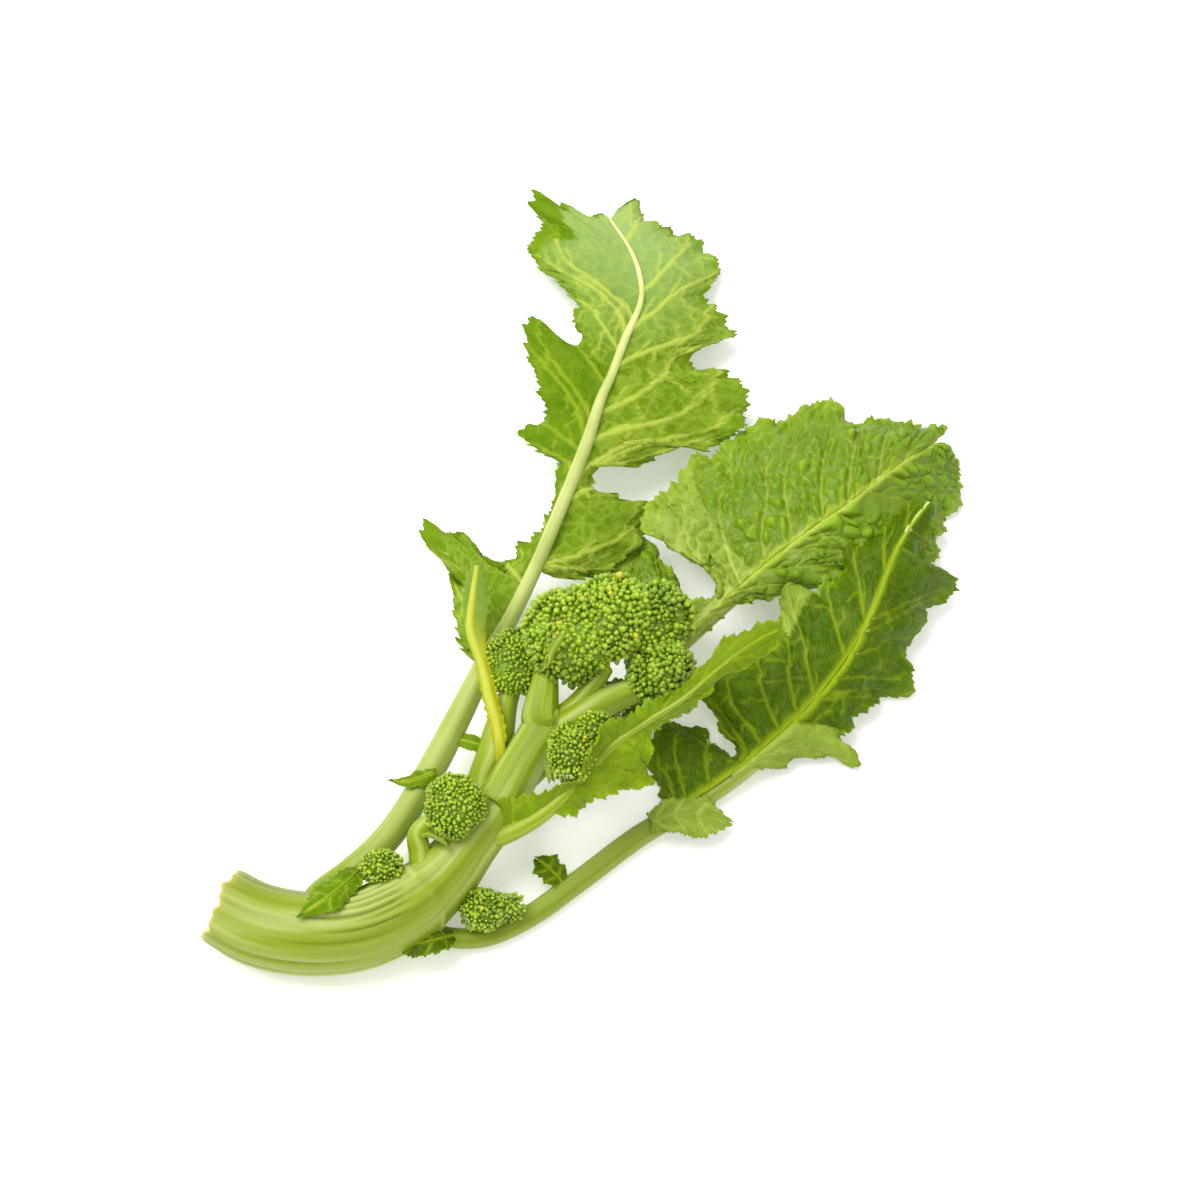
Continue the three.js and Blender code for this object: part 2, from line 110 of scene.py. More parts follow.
TALL = [
  [-81.5, -93.5, 13, 4], [-72.5, -86, 13, 4.2], [-64, -78, 13.5, 4.2], [-57, -68.5, 14, 4.2],
  [-49, -53.5, 15, 4.2], [-41, -37, 16.5, 3.8], [-33.5, -21, 18, 3.1], [-27, -8.5, 19, 2.5],
  [-19, 9, 21, 2.2], [-11.5, 28, 23, 2], [-4.5, 47.5, 24, 2], [0, 63.5, 23.5, 1.6],
  [3.5, 73, 22.5, 1.4], [7.5, 86.5, 20, 1.3], [12.5, 102.5, 15, 0.9], [12.5, 113.5, 12, 0.8],
  [9.5, 126, 8, 0.6], [3, 140, 4, 0.4],
]
BROAD = [
  [-22, -61, 18, 2.4], [-11.5, -48, 14, 2.7], [0, -36, 11, 3], [15, -21, 11, 3.3],
  [30, -6.5, 13, 3.3], [45, 5.5, 17, 2.7], [60, 16.5, 22, 2.1], [75, 27.5, 24, 1.5],
  [89.5, 41.5, 20, 1.1], [103, 54, 12, 0.6],
]
LONG = [
  [-49.5, -102, 6, 3], [-35, -103, 4.5, 3], [-20.5, -96, 3.5, 3.3], [-6, -85, 3.5, 3.3],
  [11.5, -71, 3.5, 3.3], [29.5, -60, 4, 3], [44, -50, 7, 3], [60.5, -36, 12, 2.7],
  [72, -23, 17, 2.2], [79.5, -10, 22, 1.8], [87, 9, 24, 1.3], [93.5, 21, 23.5, 0.9],
  [99, 29, 22, 0.6],
]
FRONT = [
  [-29, -78, 21, 3], [-17.5, -74, 27, 2.5], [-7.5, -66.5, 32, 1.9], [2.5, -57.5, 37, 1.3],
  [13, -50.5, 40, 1], [23, -44.5, 42, 0.8], [33, -35.5, 42, 0.7], [43.5, -26, 40, 0.6],
  [53.5, -19.5, 38, 0.5],
]
YELLOW = [
  [-29, -53, 27, 1.5], [-30, -46, 28, 1.8], [-32, -38.5, 28.5, 1.8], [-34.5, -27.5, 29, 1.8],
  [-38, -16.5, 30, 1.5], [-37.5, -6, 31, 1.2], [-36.5, 3.5, 31, 0.9],
]

# %% Small leaflets: x, y, z and half width
TALL_DART = [
  [-47.5, -57, 19, 1.5], [-52.5, -59.5, 19.5, 2.7], [-57, -60.5, 19, 1.5], [-61.5, -59.5, 18, 0.3],
]
TALL_STRAP = [
  [-68.5, -85, 15, 1.5], [-72, -92, 22, 3.6], [-78, -99, 26, 4.5], [-85.5, -104, 25.5, 1.8],
]
LONG_ROUND = [
  [-10, -88, 4, 0.9], [-12.5, -85, 5.5, 3.3], [-16, -82, 7, 3.9], [-18.5, -80, 7, 1.5],
]
LONG_BASE = [
  [-42, -103, 6.5, 1.5], [-47.5, -106.5, 11.5, 3.9], [-54.5, -108, 12, 3.6], [-61, -106, 11, 0.9],
]
LONG_PALE = [
  [14, -68.5, 7.5, 3], [21, -66.5, 8, 5.7], [30, -67, 7, 6.3], [38, -67.5, 4, 1.5],
]
TALL_BACK = [
  [-43.5, -45, 15.5, 1.2], [-39, -47, 17, 2.4], [-35.5, -48, 17, 2.1], [-32, -48.5, 16, 0.6],
]
CROWN_BRACT = [
  [-15.5, -34.5, 42.5, 0.9], [-14, -30.5, 45.5, 1.2], [-12, -28, 47.5, 1.1], [-10, -26, 48.5, 0.4],
]
SHORT_SHOOT_BRACT = [
  [-53.5, -79.5, 24, 0.9], [-49.5, -79, 26, 1.2], [-45.5, -81, 27, 1.2], [-43.5, -83.5, 27, 0.4],
]
MIDDLE_BRANCH = [
  [-12, -43.5, 26, 3.6], [-7, -39.5, 28, 3.1], [-2.5, -35, 30.5, 2.9], [1.5, -30, 33, 2.5],
]
FRONT_SHOOT_BRACT = [
  [-14, -65.5, 30.5, 0.8], [-15, -61, 32, 1.2], [-14, -57, 34, 1.2], [-12, -54.5, 36, 0.4],
]

# %% Leaf edges
TALL_RIGHT = [
  [7.9, -16.5, 10.5, 19], [8, -12, 7, 17], [8.2, 0, 8, 14], [8.5, 12, 19.5, 13],
  [8.8, 15.5, 32.5, 14], [9.1, 6.5, 32.5, 17], [9.3, -2, 36, 20], [9.5, 0, 44.5, 20],
  [9.7, 12, 44.5, 16], [10, 22, 52, 14], [10.3, 31.5, 51.5, 13], [10.6, 43.5, 60.5, 10],
  [10.9, 46, 70.5, 10], [11.2, 43.5, 76.5, 11], [11.6, 34.5, 79.5, 13], [11.9, 28, 83.5, 14],
  [12.3, 32.5, 88.5, 12], [12.8, 43.5, 96, 8], [13.2, 36, 102.5, 9], [13.7, 33, 109.5, 8],
  [14.3, 38, 120, 5], [14.9, 34.5, 129, 3], [15.4, 32, 135, 2], [16, 21.5, 136, 3],
  [16.6, 14.5, 140.5, 3], [16.9, 12.5, 147, 2], [17, 6.5, 144.5, 3],
]
TALL_LEFT = [
  [5.9, -36.5, -24.5, 17], [6.1, -42.5, -11.5, 14], [6.3, -44.5, -0.5, 12],
  [6.5, -46.5, 14.5, 9, 0.2], [6.8, -55, 26, 6, 0.3], [7.1, -53, 31, 6, 0.2],
  [7.4, -44.5, 25.5, 9], [7.7, -36, 15.5, 13], [7.9, -28, 12.5, 17], [8.3, -21, 18.5, 19],
  [8.8, -15.5, 28, 21], [9.3, -13.5, 35.5, 21, 0.2], [9.6, -13, 43.5, 19, 0.6],
  [9.9, -24, 54.5, 14, 1], [10.3, -23.5, 59, 14, 1], [10.6, -17, 62.5, 17, 1],
  [10.9, -18.5, 71, 19, 1], [11.2, -23.5, 84.5, 20, 1], [11.6, -21.5, 93.5, 20, 1],
  [12, -12, 86.5, 19, 0.7], [12.4, -5.5, 87.5, 18, 0.1], [12.8, -9, 98, 16], [13.3, -7.5, 103, 14],
  [13.8, -13, 112, 11], [14.4, -23, 125, 7, 0.1], [14.9, -21.5, 131.5, 6, 0.16],
  [15.2, -18, 136, 6, 0.25], [15.4, -22.5, 143, 6, 0.3], [15.7, -20, 148.5, 5, 0.3],
  [15.9, -14.5, 144.5, 5, 0.2], [16.2, -11, 145, 4, 0.1], [16.5, -6.5, 143, 3],
  [16.8, -2, 140.5, 3], [17, 1, 142, 3.5],
]
BROAD_UPPER = [
  [2.7, 8, -22, 11], [2.9, 3, 1, 9], [3.1, 0.5, 16, 8], [3.3, 12, 23.5, 9], [3.6, 18, 15, 11],
  [3.85, 25.5, 2, 12], [4.1, 34.5, 0.5, 14, 0.6], [4.3, 37.5, 8, 18, 1], [4.5, 30, 10.5, 19, 1],
  [4.7, 19.5, 16.5, 19, 1], [4.9, 12.5, 23.5, 17, 1], [5.1, 13.5, 29.5, 14, 1],
  [5.4, 22, 41, 13, 0.3], [5.7, 27.5, 48, 12], [6, 33, 48, 12], [6.3, 43.5, 59, 10],
  [6.6, 54, 62.5, 10], [7, 65.5, 70, 8], [7.3, 72, 71, 8], [7.5, 77.5, 65, 9], [7.7, 81.5, 63, 9],
  [8, 89.5, 65.5, 7], [8.3, 94.5, 64, 7], [8.6, 104, 63, 6], [9, 105, 58.5, 8],
]
BROAD_LOWER = [
  [3.8, 30, -11, 13], [4.3, 40.5, -1, 14], [4.8, 55.5, 2, 16], [5.2, 68.5, 5, 17],
  [5.6, 71.5, 8, 18], [6, 78, 9, 16], [6.5, 87.5, 8.5, 12], [7, 99, 15.5, 6], [7.4, 104, 21, 4],
  [7.7, 102, 25, 5], [8.1, 107.5, 34.5, 2], [8.4, 110.5, 41.5, 1], [8.7, 111, 46, 1.5],
  [8.9, 109.5, 53.5, 4], [9, 106.5, 55, 8],
]
LONG_RIGHT = [
  [5.6, 37.5, -55, 4.5, 1], [5.9, 49, -49.5, 4.5, 1], [6.1, 59, -47, 4.5, 1],
  [6.4, 68, -46.5, 3.5, 1], [6.6, 73.5, -48.5, 1.5, 1], [6.8, 76.5, -47.5, 2.5, 1],
  [7, 71, -41, 8, 0.3], [7.3, 74, -41, 8], [7.6, 78, -33.5, 8], [7.9, 85, -28, 4],
  [8.1, 93, -25, 1.5], [8.4, 94, -21.5, 4], [8.7, 91, -16.5, 9], [9, 95.5, -9.5, 8],
  [9.2, 98, -1.5, 9], [9.4, 104.5, 3, 7], [9.7, 109.5, 7.5, 6], [9.9, 107.5, 9.5, 9],
  [10.3, 97.5, 8, 15], [10.7, 95, 14, 19], [11.2, 97, 18.5, 20], [11.7, 101.5, 27, 20],
  [12, 100.5, 29.5, 21.5],
]
LONG_LEFT = [
  [4.5, 21, -61.5, 3], [4.75, 15.5, -55, 3], [5, 13.5, -44.5, 3.5], [5.2, 19, -35.5, 4.5],
  [5.4, 27.5, -37, 5], [5.6, 30.5, -42, 5.5], [5.75, 34.5, -42.5, 6], [5.95, 37.5, -50, 7],
  [6.1, 40, -44, 8], [6.3, 34, -36.5, 8], [6.5, 28, -25.5, 9], [6.7, 30.5, -21, 10],
  [6.9, 40, -20, 11], [7.1, 44, -16.5, 12], [7.3, 51, -14, 14, 0.1], [7.6, 53, -7.5, 17, 0.25],
  [7.9, 52.5, -2, 19, 0.32], [8.2, 56.5, 2, 20, 0.3], [8.6, 64, 0.5, 21, 0.1], [9, 71.5, 6, 21],
  [9.3, 75, 14, 20], [9.7, 81, 21, 20], [10.2, 86, 24.5, 20], [10.8, 91, 29.5, 20],
  [11.4, 95.5, 30.5, 21], [12, 97.5, 31, 21.5],
]
FRONT_LEFT = [
  [0.1, -32.5, -66.5, 28.5], [0.5, -27.5, -71, 29.5], [0.9, -22.5, -70, 31],
  [1.4, -14.5, -69, 34.5], [1.9, -6.5, -66, 38], [2.3, -3, -63, 42.5], [2.6, -3.5, -58.5, 44.5],
  [3, 0, -55, 45], [3.6, 7, -52, 44.5], [4.2, 14, -45.5, 43.5], [4.7, 21.5, -41.5, 42.5],
  [5.3, 28.5, -33, 41], [6, 34, -26, 40], [6.7, 40.5, -20.5, 38], [7.4, 46.5, -18.5, 38],
  [8, 53, -18, 38],
]
FRONT_RIGHT = [
  [1.3, -13, -74, 28], [1.7, -7, -73.5, 27], [2.1, -2.5, -70.5, 30], [2.5, 5, -68, 31],
  [3, 16, -65.5, 30], [3.4, 13.5, -59, 33], [3.8, 13, -53.5, 36], [4.3, 19.5, -49.5, 37],
  [4.8, 26.5, -47, 38], [5.3, 29.5, -40.5, 39], [6, 41, -32, 38], [6.8, 48, -27.5, 37],
  [7.5, 52.5, -23, 37], [8, 55, -21, 37.5],
]
YELLOW_LEFT = [
  [3.3, -37, -24.5, 29], [4, -40, -15, 29.5], [4.6, -41, -7, 30], [5.3, -40, -0.5, 31],
  [6, -38, 5, 31],
]
YELLOW_RIGHT = [
  [3.3, -33.5, -23, 29.5], [4.2, -33.5, -14, 30], [4.8, -32.5, -7, 30.5], [5.4, -33.5, -1, 31],
  [6, -35, 5, 31],
]

# %% [markdown]
# A line through a few points is smoothed with a Catmull-Rom curve, the one that passes
# through all its points. One function serves for stems, midribs and leaf edges alike.

# %% Smooth line through points
def curve(points, u):
    """Values on the smooth line at u, which counts points."""
    p = np.asarray(points, float)
    p = np.vstack([2 * p[0] - p[1], p, 2 * p[-1] - p[-2]])
    u = np.clip(np.asarray(u, float), 0, len(points) - 1)
    i = np.minimum(u.astype(int), len(points) - 2)
    f = (u - i)[:, None]
    a, b, c, d = p[i], p[i + 1], p[i + 2], p[i + 3]
    return b + 0.5 * f * (c - a + f * (2 * a - 5 * b + 4 * c - d + f * (3 * (b - c) + d - a)))


def unit(v):
    return v / np.maximum(np.linalg.norm(v, axis=-1, keepdims=True), 1e-9)


def even_steps(points, count, columns=slice(0, 3)):
    """u values that cut the smooth line into equal lengths, and those lengths."""
    u = np.linspace(0, len(points) - 1, 60 * len(points))
    p = curve(points, u)[:, columns]
    run = np.concatenate([[0], np.cumsum(np.linalg.norm(np.diff(p, axis=0), axis=1))])
    even = np.linspace(0, run[-1], count)
    return np.interp(even, run, u), even


# where each leaf's stalk starts, buried in the stem or, for the yellow leaf, in the left shoot
FEET = {
    "tall_leaf": [-86, -100.5, 11, 3.3], "broad_leaf": [-27, -65.5, 18, 1.8],
    "long_leaf": [-54.5, -97, 9, 2.7], "front_leaf": [-35.5, -78, 17, 2.7],
    "yellow_leaf": [-28.5, -56.5, 20.5, 2.1],
}
print("tall leaf midrib", even_steps(TALL, 2)[1][-1].round(1), "mm long")

# %% [markdown]
# Plants are never smooth, so a soft random height is added nearly everywhere. Blender's
# own noise is read point by point; its size is a length in millimetres.

# %% Soft random height
def rough(points, size, seed=0.0):
    flat = points.reshape(-1, 3) / size + seed
    values = [noise.noise(Vector(p)) for p in flat]
    return np.array(values).reshape(points.shape[:-1])


# %% [markdown]
# A grid is the start of both a leaf blade and a stalk: a blade is a grid with its points
# moved, a stalk is a grid rolled up and welded along its seam. The grid operator makes
# the faces, and the numbers of the shape only move its points.

# %% Grid with moved points
def grid_of(bm, points):
    """Add a grid whose point (i, j) lies at points[i, j]; returns its vertices and faces."""
    cols, rows = points.shape[:2]
    first = len(bm.faces)
    made = bmesh.ops.create_grid(bm, x_segments=cols - 1, y_segments=rows - 1, size=1.0)["verts"]
    flat = place(points).transpose(1, 0, 2).reshape(-1, 3)
    for v, co in zip(made, flat):
        v.co = co
    bm.faces.ensure_lookup_table()
    return made, bm.faces[first:]


# "bloom" is the pale end of a leaf or a cut's pith, "border" a leaf's rim or a cut's bundles
MASKS = ("vein", "quilt", "midrib", "border", "flip", "bloom", "under", "along", "ridge",
         "streak", "cut")


def new_mesh():
    """An empty mesh that can keep every mask."""
    bm = bmesh.new()
    for label in MASKS:
        bm.verts.layers.float.new(label)
    bm.verts.layers.int.new("source")
    return bm


def set_masks(bm, verts, shape, **masks):
    """Spread each mask over the grid's shape and keep it on the grid's vertices."""
    for label, values in masks.items():
        layer = bm.verts.layers.float[label]
        for v, x in zip(verts, np.broadcast_to(values, shape).T.reshape(-1)):
            v[layer] = float(x)


def normals(points):
    """The direction across the grid's surface at each of its points."""
    return unit(np.cross(np.gradient(points, axis=0), np.gradient(points, axis=1)))


def finish_piece(bm, name, materials, nodes):
    """Make the object, shade it smooth, hang it on the root body and hide the frame's parts it
    stands for.
    """
    mesh = bpy.data.meshes.new(name)
    bm.to_mesh(mesh)
    bm.free()
    for m in materials:
        mesh.materials.append(m)
    mesh.polygons.foreach_set("use_smooth", np.ones(len(mesh.polygons), bool))
    piece = bpy.data.objects.new(name, mesh)
    bpy.context.collection.objects.link(piece)
    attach(piece, "root")
    if nodes:
        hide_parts(*nodes)
    print(name, len(mesh.polygons), "faces")
    return piece


# %% [markdown]
# Stalks. A stalk's cross-section is described by its angle and its place along the
# line, so ridges, grooves and swollen joints are all small changes of its radius.
# The first and last rows close in on the middle and make the end faces. A cut face keeps
# a mask of its pale pith and one of its ring of bundles, for the colour. The skin keeps
# its relief too, for painted shade in the grooves and a painted highlight on the crests.

# %% Rolled stalk
TABLE_TOP = 0.26        # lowest z allowed in the layout, mm; just above the table
TIP_DOME = 0.35         # height of the far end's dome, in radii
CUT_DISH = -0.1         # the near end is a shallow dish, this part of the dome
FADE_OF_CUT = 0.07      # how far the dried colour of a cut creeps along the skin, in points
FADE_OF_JAGS = 0.12     # how far the torn rim reaches, in points


def stalk(bm, line, along, around, shape, first_cap=6, last_cap=4, ragged=0.0):
    """Roll a grid round the line. shape(u, angle) multiplies the radius."""
    u, _ = even_steps(line, along)
    u = np.concatenate([np.full(first_cap, u[0]), u, np.full(last_cap, u[-1])])
    close = np.concatenate([np.linspace(0.02, 0.97, first_cap), np.ones(along),
                            np.linspace(0.97, 0.02, last_cap)])
    p = curve(line, u)
    centre, radius = p[:, :3], p[:, 3:4]
    ahead, behind = curve(line, u + 0.05)[:, :3], curve(line, u - 0.05)[:, :3]
    forward = unit(ahead - behind)
    side = unit(np.cross([0, 0, 1.0], forward))
    top = np.cross(forward, side)
    angle = np.linspace(0, 2 * math.pi, around + 1)
    ring = radius * close[:, None] * shape(u[:, None], angle[None, :])
    outward = (np.cos(angle)[None, :, None] * side[:, None]
               + np.sin(angle)[None, :, None] * top[:, None])
    pts = centre[:, None] + ring[..., None] * outward
    dome = np.sqrt(np.clip(1 - close ** 2, 0, 1)) * p[:, 3] * TIP_DOME
    dome[:first_cap] *= CUT_DISH
    pts += dome[:, None, None] * forward[:, None]
    jag = np.sin(3 * angle + 1.0) + 0.7 * np.sin(8 * angle) + 0.5 * np.sin(17 * angle + 2.0)
    jag_size = ragged * (np.exp(-u / FADE_OF_JAGS) * close ** 4)[:, None]
    pts += (jag_size * jag[None, :])[..., None] * forward[:, None]
    pts[..., 2] = np.maximum(pts[..., 2], TABLE_TOP)
    verts, faces = grid_of(bm, pts)
    # the relief is kept as the ridge mask, for painted shade in the grooves and a painted highlight
    # on the crests
    relief = ring / np.maximum(radius * close[:, None], 1e-6)
    reach = max(1, around // 14)
    around_it = np.concatenate([relief[:, -1 - reach:-1], relief, relief[:, 1:1 + reach]], axis=1)
    blurred = sum(around_it[:, k:k + around + 1] for k in range(2 * reach + 1)) / (2 * reach + 1)
    lengthwise = np.array([np.convolve(np.pad(row, 6, mode="edge"), np.ones(13) / 13, "valid")
                           for row in relief.T]).T
    relief = relief - blurred + 0.8 * np.clip(relief - lengthwise, -0.03, 0.05)
    face = (np.arange(len(u)) < first_cap) * 1.0
    relief = relief * (1 - face[:, None])
    cut = np.where(face > 0, 1.0, np.exp(-np.maximum(u, 0) / FADE_OF_CUT))
    around_at = np.stack(np.broadcast_arrays(3.0 * np.cos(angle)[None, :],
                                             3.0 * np.sin(angle)[None, :],
                                             0.5 * u[:, None]), axis=-1)
    around_at[..., :2] *= close[:, None, None]
    fine_at = around_at * [2.5, 2.5, 1.0]
    streak = rough(around_at * 0.6, 1.0, 4.0) + 0.5 * rough(fine_at, 1.0, 9.0)
    pith = face * np.clip((0.98 - close) / 0.14, 0, 1)
    bundles = face * np.exp(-((close - 0.72) / 0.07) ** 2)
    set_masks(bm, verts, ring.shape, along=(u / (len(line) - 1))[:, None], ridge=relief,
              streak=streak, cut=cut[:, None], bloom=pith[:, None], border=bundles[:, None])
    bmesh.ops.remove_doubles(bm, verts=verts, dist=1e-7)
    faces = [f for f in faces if f.is_valid]
    edges = list({e for f in faces for e in f.edges if e.is_boundary})
    filled = bmesh.ops.holes_fill(bm, edges=edges, sides=0)["faces"]
    bmesh.ops.recalc_face_normals(bm, faces=faces + filled)


# %% [markdown]
# Leaf blades. Each half of a blade is stretched between the midrib and the leaf edge.
# Side veins run from the midrib to the tips of the lobes, finer ones branch off them,
# and between the veins the tissue puffs up like a quilt. The distance to the nearest
# vein shapes the surface and is kept on the mesh for the colour.

# %% Veins of one half
NARROWEST = 2.5         # half blades narrower than this get no side vein, mm
LEAN = 0.6              # a side vein starts this part of its length nearer the leaf's foot


def vein_points(on_blade, columns, step_mm, width, spacing, rib_run):
    """Sample the side veins and their branches on a blade."""
    main, fine = [], []
    s = np.linspace(0, 1, 90)
    order = np.sort(columns)
    for k, col in enumerate(columns):
        reach = width[int(min(col, len(width) - 1))]
        if reach < NARROWEST:
            continue
        steps = range(len(rib_run))
        at_rib = np.interp(np.interp(col, steps, rib_run) - LEAN * reach, rib_run, steps)
        drift = lambda x: ((at_rib - col) * (1 - x) + 0.10 * reach / step_mm * (x ** 2 - x)
                           + 0.022 * reach / step_mm * np.sin(9 * x + 2.3 * k) * x)
        main.append(on_blade(col + drift(s), s))
        gaps = np.abs(order - col)
        gap = np.min(gaps[gaps > 0.5]) if np.any(gaps > 0.5) else 20
        count = int(reach / spacing)
        for m in range(1, count):
            s0 = (m + 0.3 * math.sin(7.3 * m + 3.1 * k)) / count
            hand = 1 if m % 2 else -1
            t = np.linspace(0, 1, 26)
            ds = t * (0.5 + 0.2 * math.sin(2.9 * m + k)) * spacing * 1.6 / reach
            dc = hand * gap * 0.62 * (t + 0.25 * np.sin(math.pi * t) * math.sin(m * 1.7))
            fine.append(on_blade(col + drift(s0) + dc, np.clip(s0 + ds, 0, 1)))
    return main, fine


def nearest(points, samples, number):
    """Distances in millimetres from each point to the nearest samples."""
    tree = kdtree.KDTree(len(samples))
    for i, p in enumerate(samples):
        tree.insert(p, i)
    tree.balance()
    found = [[hit[2] for hit in tree.find_n(p, number)] for p in points.reshape(-1, 3)]
    return np.array(found).reshape(*points.shape[:-1], number)


def distance(points, lines, far=9.0):
    """Distance in millimetres from each point to the nearest of the lines' samples."""
    if not lines:
        return np.full(points.shape[:-1], far)
    return nearest(points, np.vstack(lines), 1)[..., 0]


# %% [markdown]
# The half blade itself. Its teeth are a saw shape added to the edge, its waves grow
# towards the edge, and the quilted height is added last, along the face that grows
# uppermost on the plant. Then the solidify operator gives it a lower face, which is moved
# so that the blade is half a millimetre thick at the midrib and thinner at its edge.

# %% Half a blade
EDGE_SOFTNESS = 0.45    # part of the smooth curve in an edge; the rest is straight lines
TOOTH_FRONT = 0.8       # part of a tooth that rises, before it drops
NO_BLOOM = (90, 91)     # a place on the midrib that no leaf reaches
MAIN_SINK, FINE_SINK = 0.28, 0.12       # depth of side veins and of their branches, mm
FINE_VEIN, FINEST_VEIN = 0.45, 0.28     # half widths of the painted lines, mm
LOWEST_BLADE = 0.75     # lowest z of a blade's top in the layout, mm


def half_blade(bm, line, edge, hand, look_up, veins, step=0.7, rows=48, lift=2.0, puff=0.5,
               wave=1.0, tooth=1.4, tooth_step=7.5, rib=1.05, spacing=4.0, seed=0.0,
               thick=0.45, cell=3.0, rib_line=0.3, swell=0.8, bloom=NO_BLOOM, vein_size=1.0,
               curl=0.0):
    """hand is +1 left of the midrib, -1 right; look_up is 0 upper face up, 1 underside up."""
    corners = np.array([e[1:4] for e in edge], float)
    count = int(even_steps(corners, 2)[1][-1] / step)
    u, run = even_steps(corners, count)
    numbers = range(len(edge))
    straight = np.stack([np.interp(u, numbers, corners[:, k]) for k in range(3)], axis=1)
    border = EDGE_SOFTNESS * curve(corners, u) + (1 - EDGE_SOFTNESS) * straight
    at = np.interp(u, numbers, [e[0] for e in edge])
    flip = np.interp(u, numbers, [e[4] if len(e) > 4 else 0.0 for e in edge])
    soft = max(3, int(5 / step))
    at = np.convolve(np.pad(at, soft, mode="edge"), np.ones(2 * soft + 1) / (2 * soft + 1), "valid")
    mid = curve(line, at)
    root, radius = mid[:, :3].copy(), mid[:, 3]
    up_sign = 1.0 if look_up == 0 else -1.0
    root[:, 2] += up_sign * rib * radius
    out = border - root
    width = np.linalg.norm(out, axis=1)

    def saw(x):
        x = x % 1.0
        return np.where(x < TOOTH_FRONT, (x / TOOTH_FRONT) ** 1.6, (1 - x) / 0.2) - 0.4

    size = 0.75 + 0.45 * np.sin(run / 7.3 + 2 * seed)
    teeth = saw(run / tooth_step + 0.35 * np.sin(run / 11.0 + seed)) * size
    teeth += 0.6 * saw(run / tooth_step * 2.9 + 0.3 * np.sin(run / 5.0))
    teeth = tooth * teeth * np.clip((width - 0.8) / 4.0, 0, 1)
    out = out * (1 + teeth / np.maximum(width, 1))[:, None]
    s = np.linspace(0, 1, rows)
    pts = root[:, None] + out[:, None] * s[None, :, None]
    arch = lift * (np.sin(math.pi * s) ** 1.6)[None, :]
    pts[..., 2] += arch * np.clip(width / 25, 0, 1)[:, None]

    growth = normals(pts) * hand * up_sign
    ruffle = (np.sin(run / 2.1 + seed) + 0.9 * np.sin(run / 3.7 + 2.0 + seed))[:, None] * 0.9
    ruffle = wave * ruffle * (s[None, :] ** 4) * np.clip(width / 12, 0, 1)[:, None]
    pts += growth * ruffle[..., None]
    pts += growth * (wave * 1.6 * rough(pts, 16.0, seed) * np.sqrt(s)[None, :])[..., None]

    def on_blade(col, row):
        c = np.clip(col, 0, count - 1.001)
        r = np.clip(row, 0, 1) * (rows - 1.001)
        i, j = c.astype(int), r.astype(int)
        f, g = (c - i)[:, None], (r - j)[:, None]
        return ((pts[i, j] * (1 - f) + pts[i + 1, j] * f) * (1 - g)
                + (pts[i, j + 1] * (1 - f) + pts[i + 1, j + 1] * f) * g)

    columns = np.interp(veins, u, np.arange(count))
    fine_u = np.linspace(0, len(line) - 1, 400)
    rib_steps = np.linalg.norm(np.diff(curve(line, fine_u)[:, :3], axis=0), axis=1)
    rib_run = np.interp(at, fine_u, np.concatenate([[0], np.cumsum(rib_steps)]))
    main, fine = vein_points(on_blade, columns, step, width, spacing, rib_run)
    d1, d2 = distance(pts, main), distance(pts, fine)
    pick = np.random.default_rng(int(10 * seed) + count)
    chance = (width[:, None] * (0.15 + s[None, :])).reshape(-1)
    number = max(12, int(width.mean() * run[-1] * 0.62 / cell ** 2))
    seeds = pick.choice(count * rows, number, p=chance / chance.sum())
    cells = pts.reshape(-1, 3)[seeds] + pick.normal(0, 0.3, (number, 3))
    pair = nearest(pts, cells, 2)
    d3 = (pair[..., 1] - pair[..., 0]) * 0.5
    d0 = s[None, :] * width[:, None]
    reach = np.clip(1 - s, 0.0, 1.0)[None, :]
    thick1 = (0.22 + 0.36 * reach) * vein_size
    v0 = np.exp(-(d0 / (0.35 + radius[:, None] * rib_line)) ** 2)
    v1 = np.exp(-(d1 / thick1) ** 2)
    v2 = np.exp(-(d2 / FINE_VEIN) ** 2)
    v3 = np.exp(-(d3 / FINEST_VEIN) ** 2)
    near = np.minimum(np.minimum(d1, d2 * 1.1), np.minimum(d0, d3 * 1.5 + 0.25))
    pillow = 1 - np.exp(-(near / 1.1) ** 2)
    pillow *= 1 + 0.5 * rough(pts, 3.0, seed + 5)
    height = puff * pillow - MAIN_SINK * v1 - FINE_SINK * v2
    bulge = swell * (1 - np.exp(-(d1 / 5.0) ** 2)) * (1 - s[None, :] ** 4)
    height += bulge * np.clip(d0 / 4, 0, 1)
    height *= np.clip(width / 8, 0.2, 1)[:, None]
    pts += normals(pts) * hand * up_sign * height[..., None]
    pts[..., 2] = np.maximum(pts[..., 2], LOWEST_BLADE)

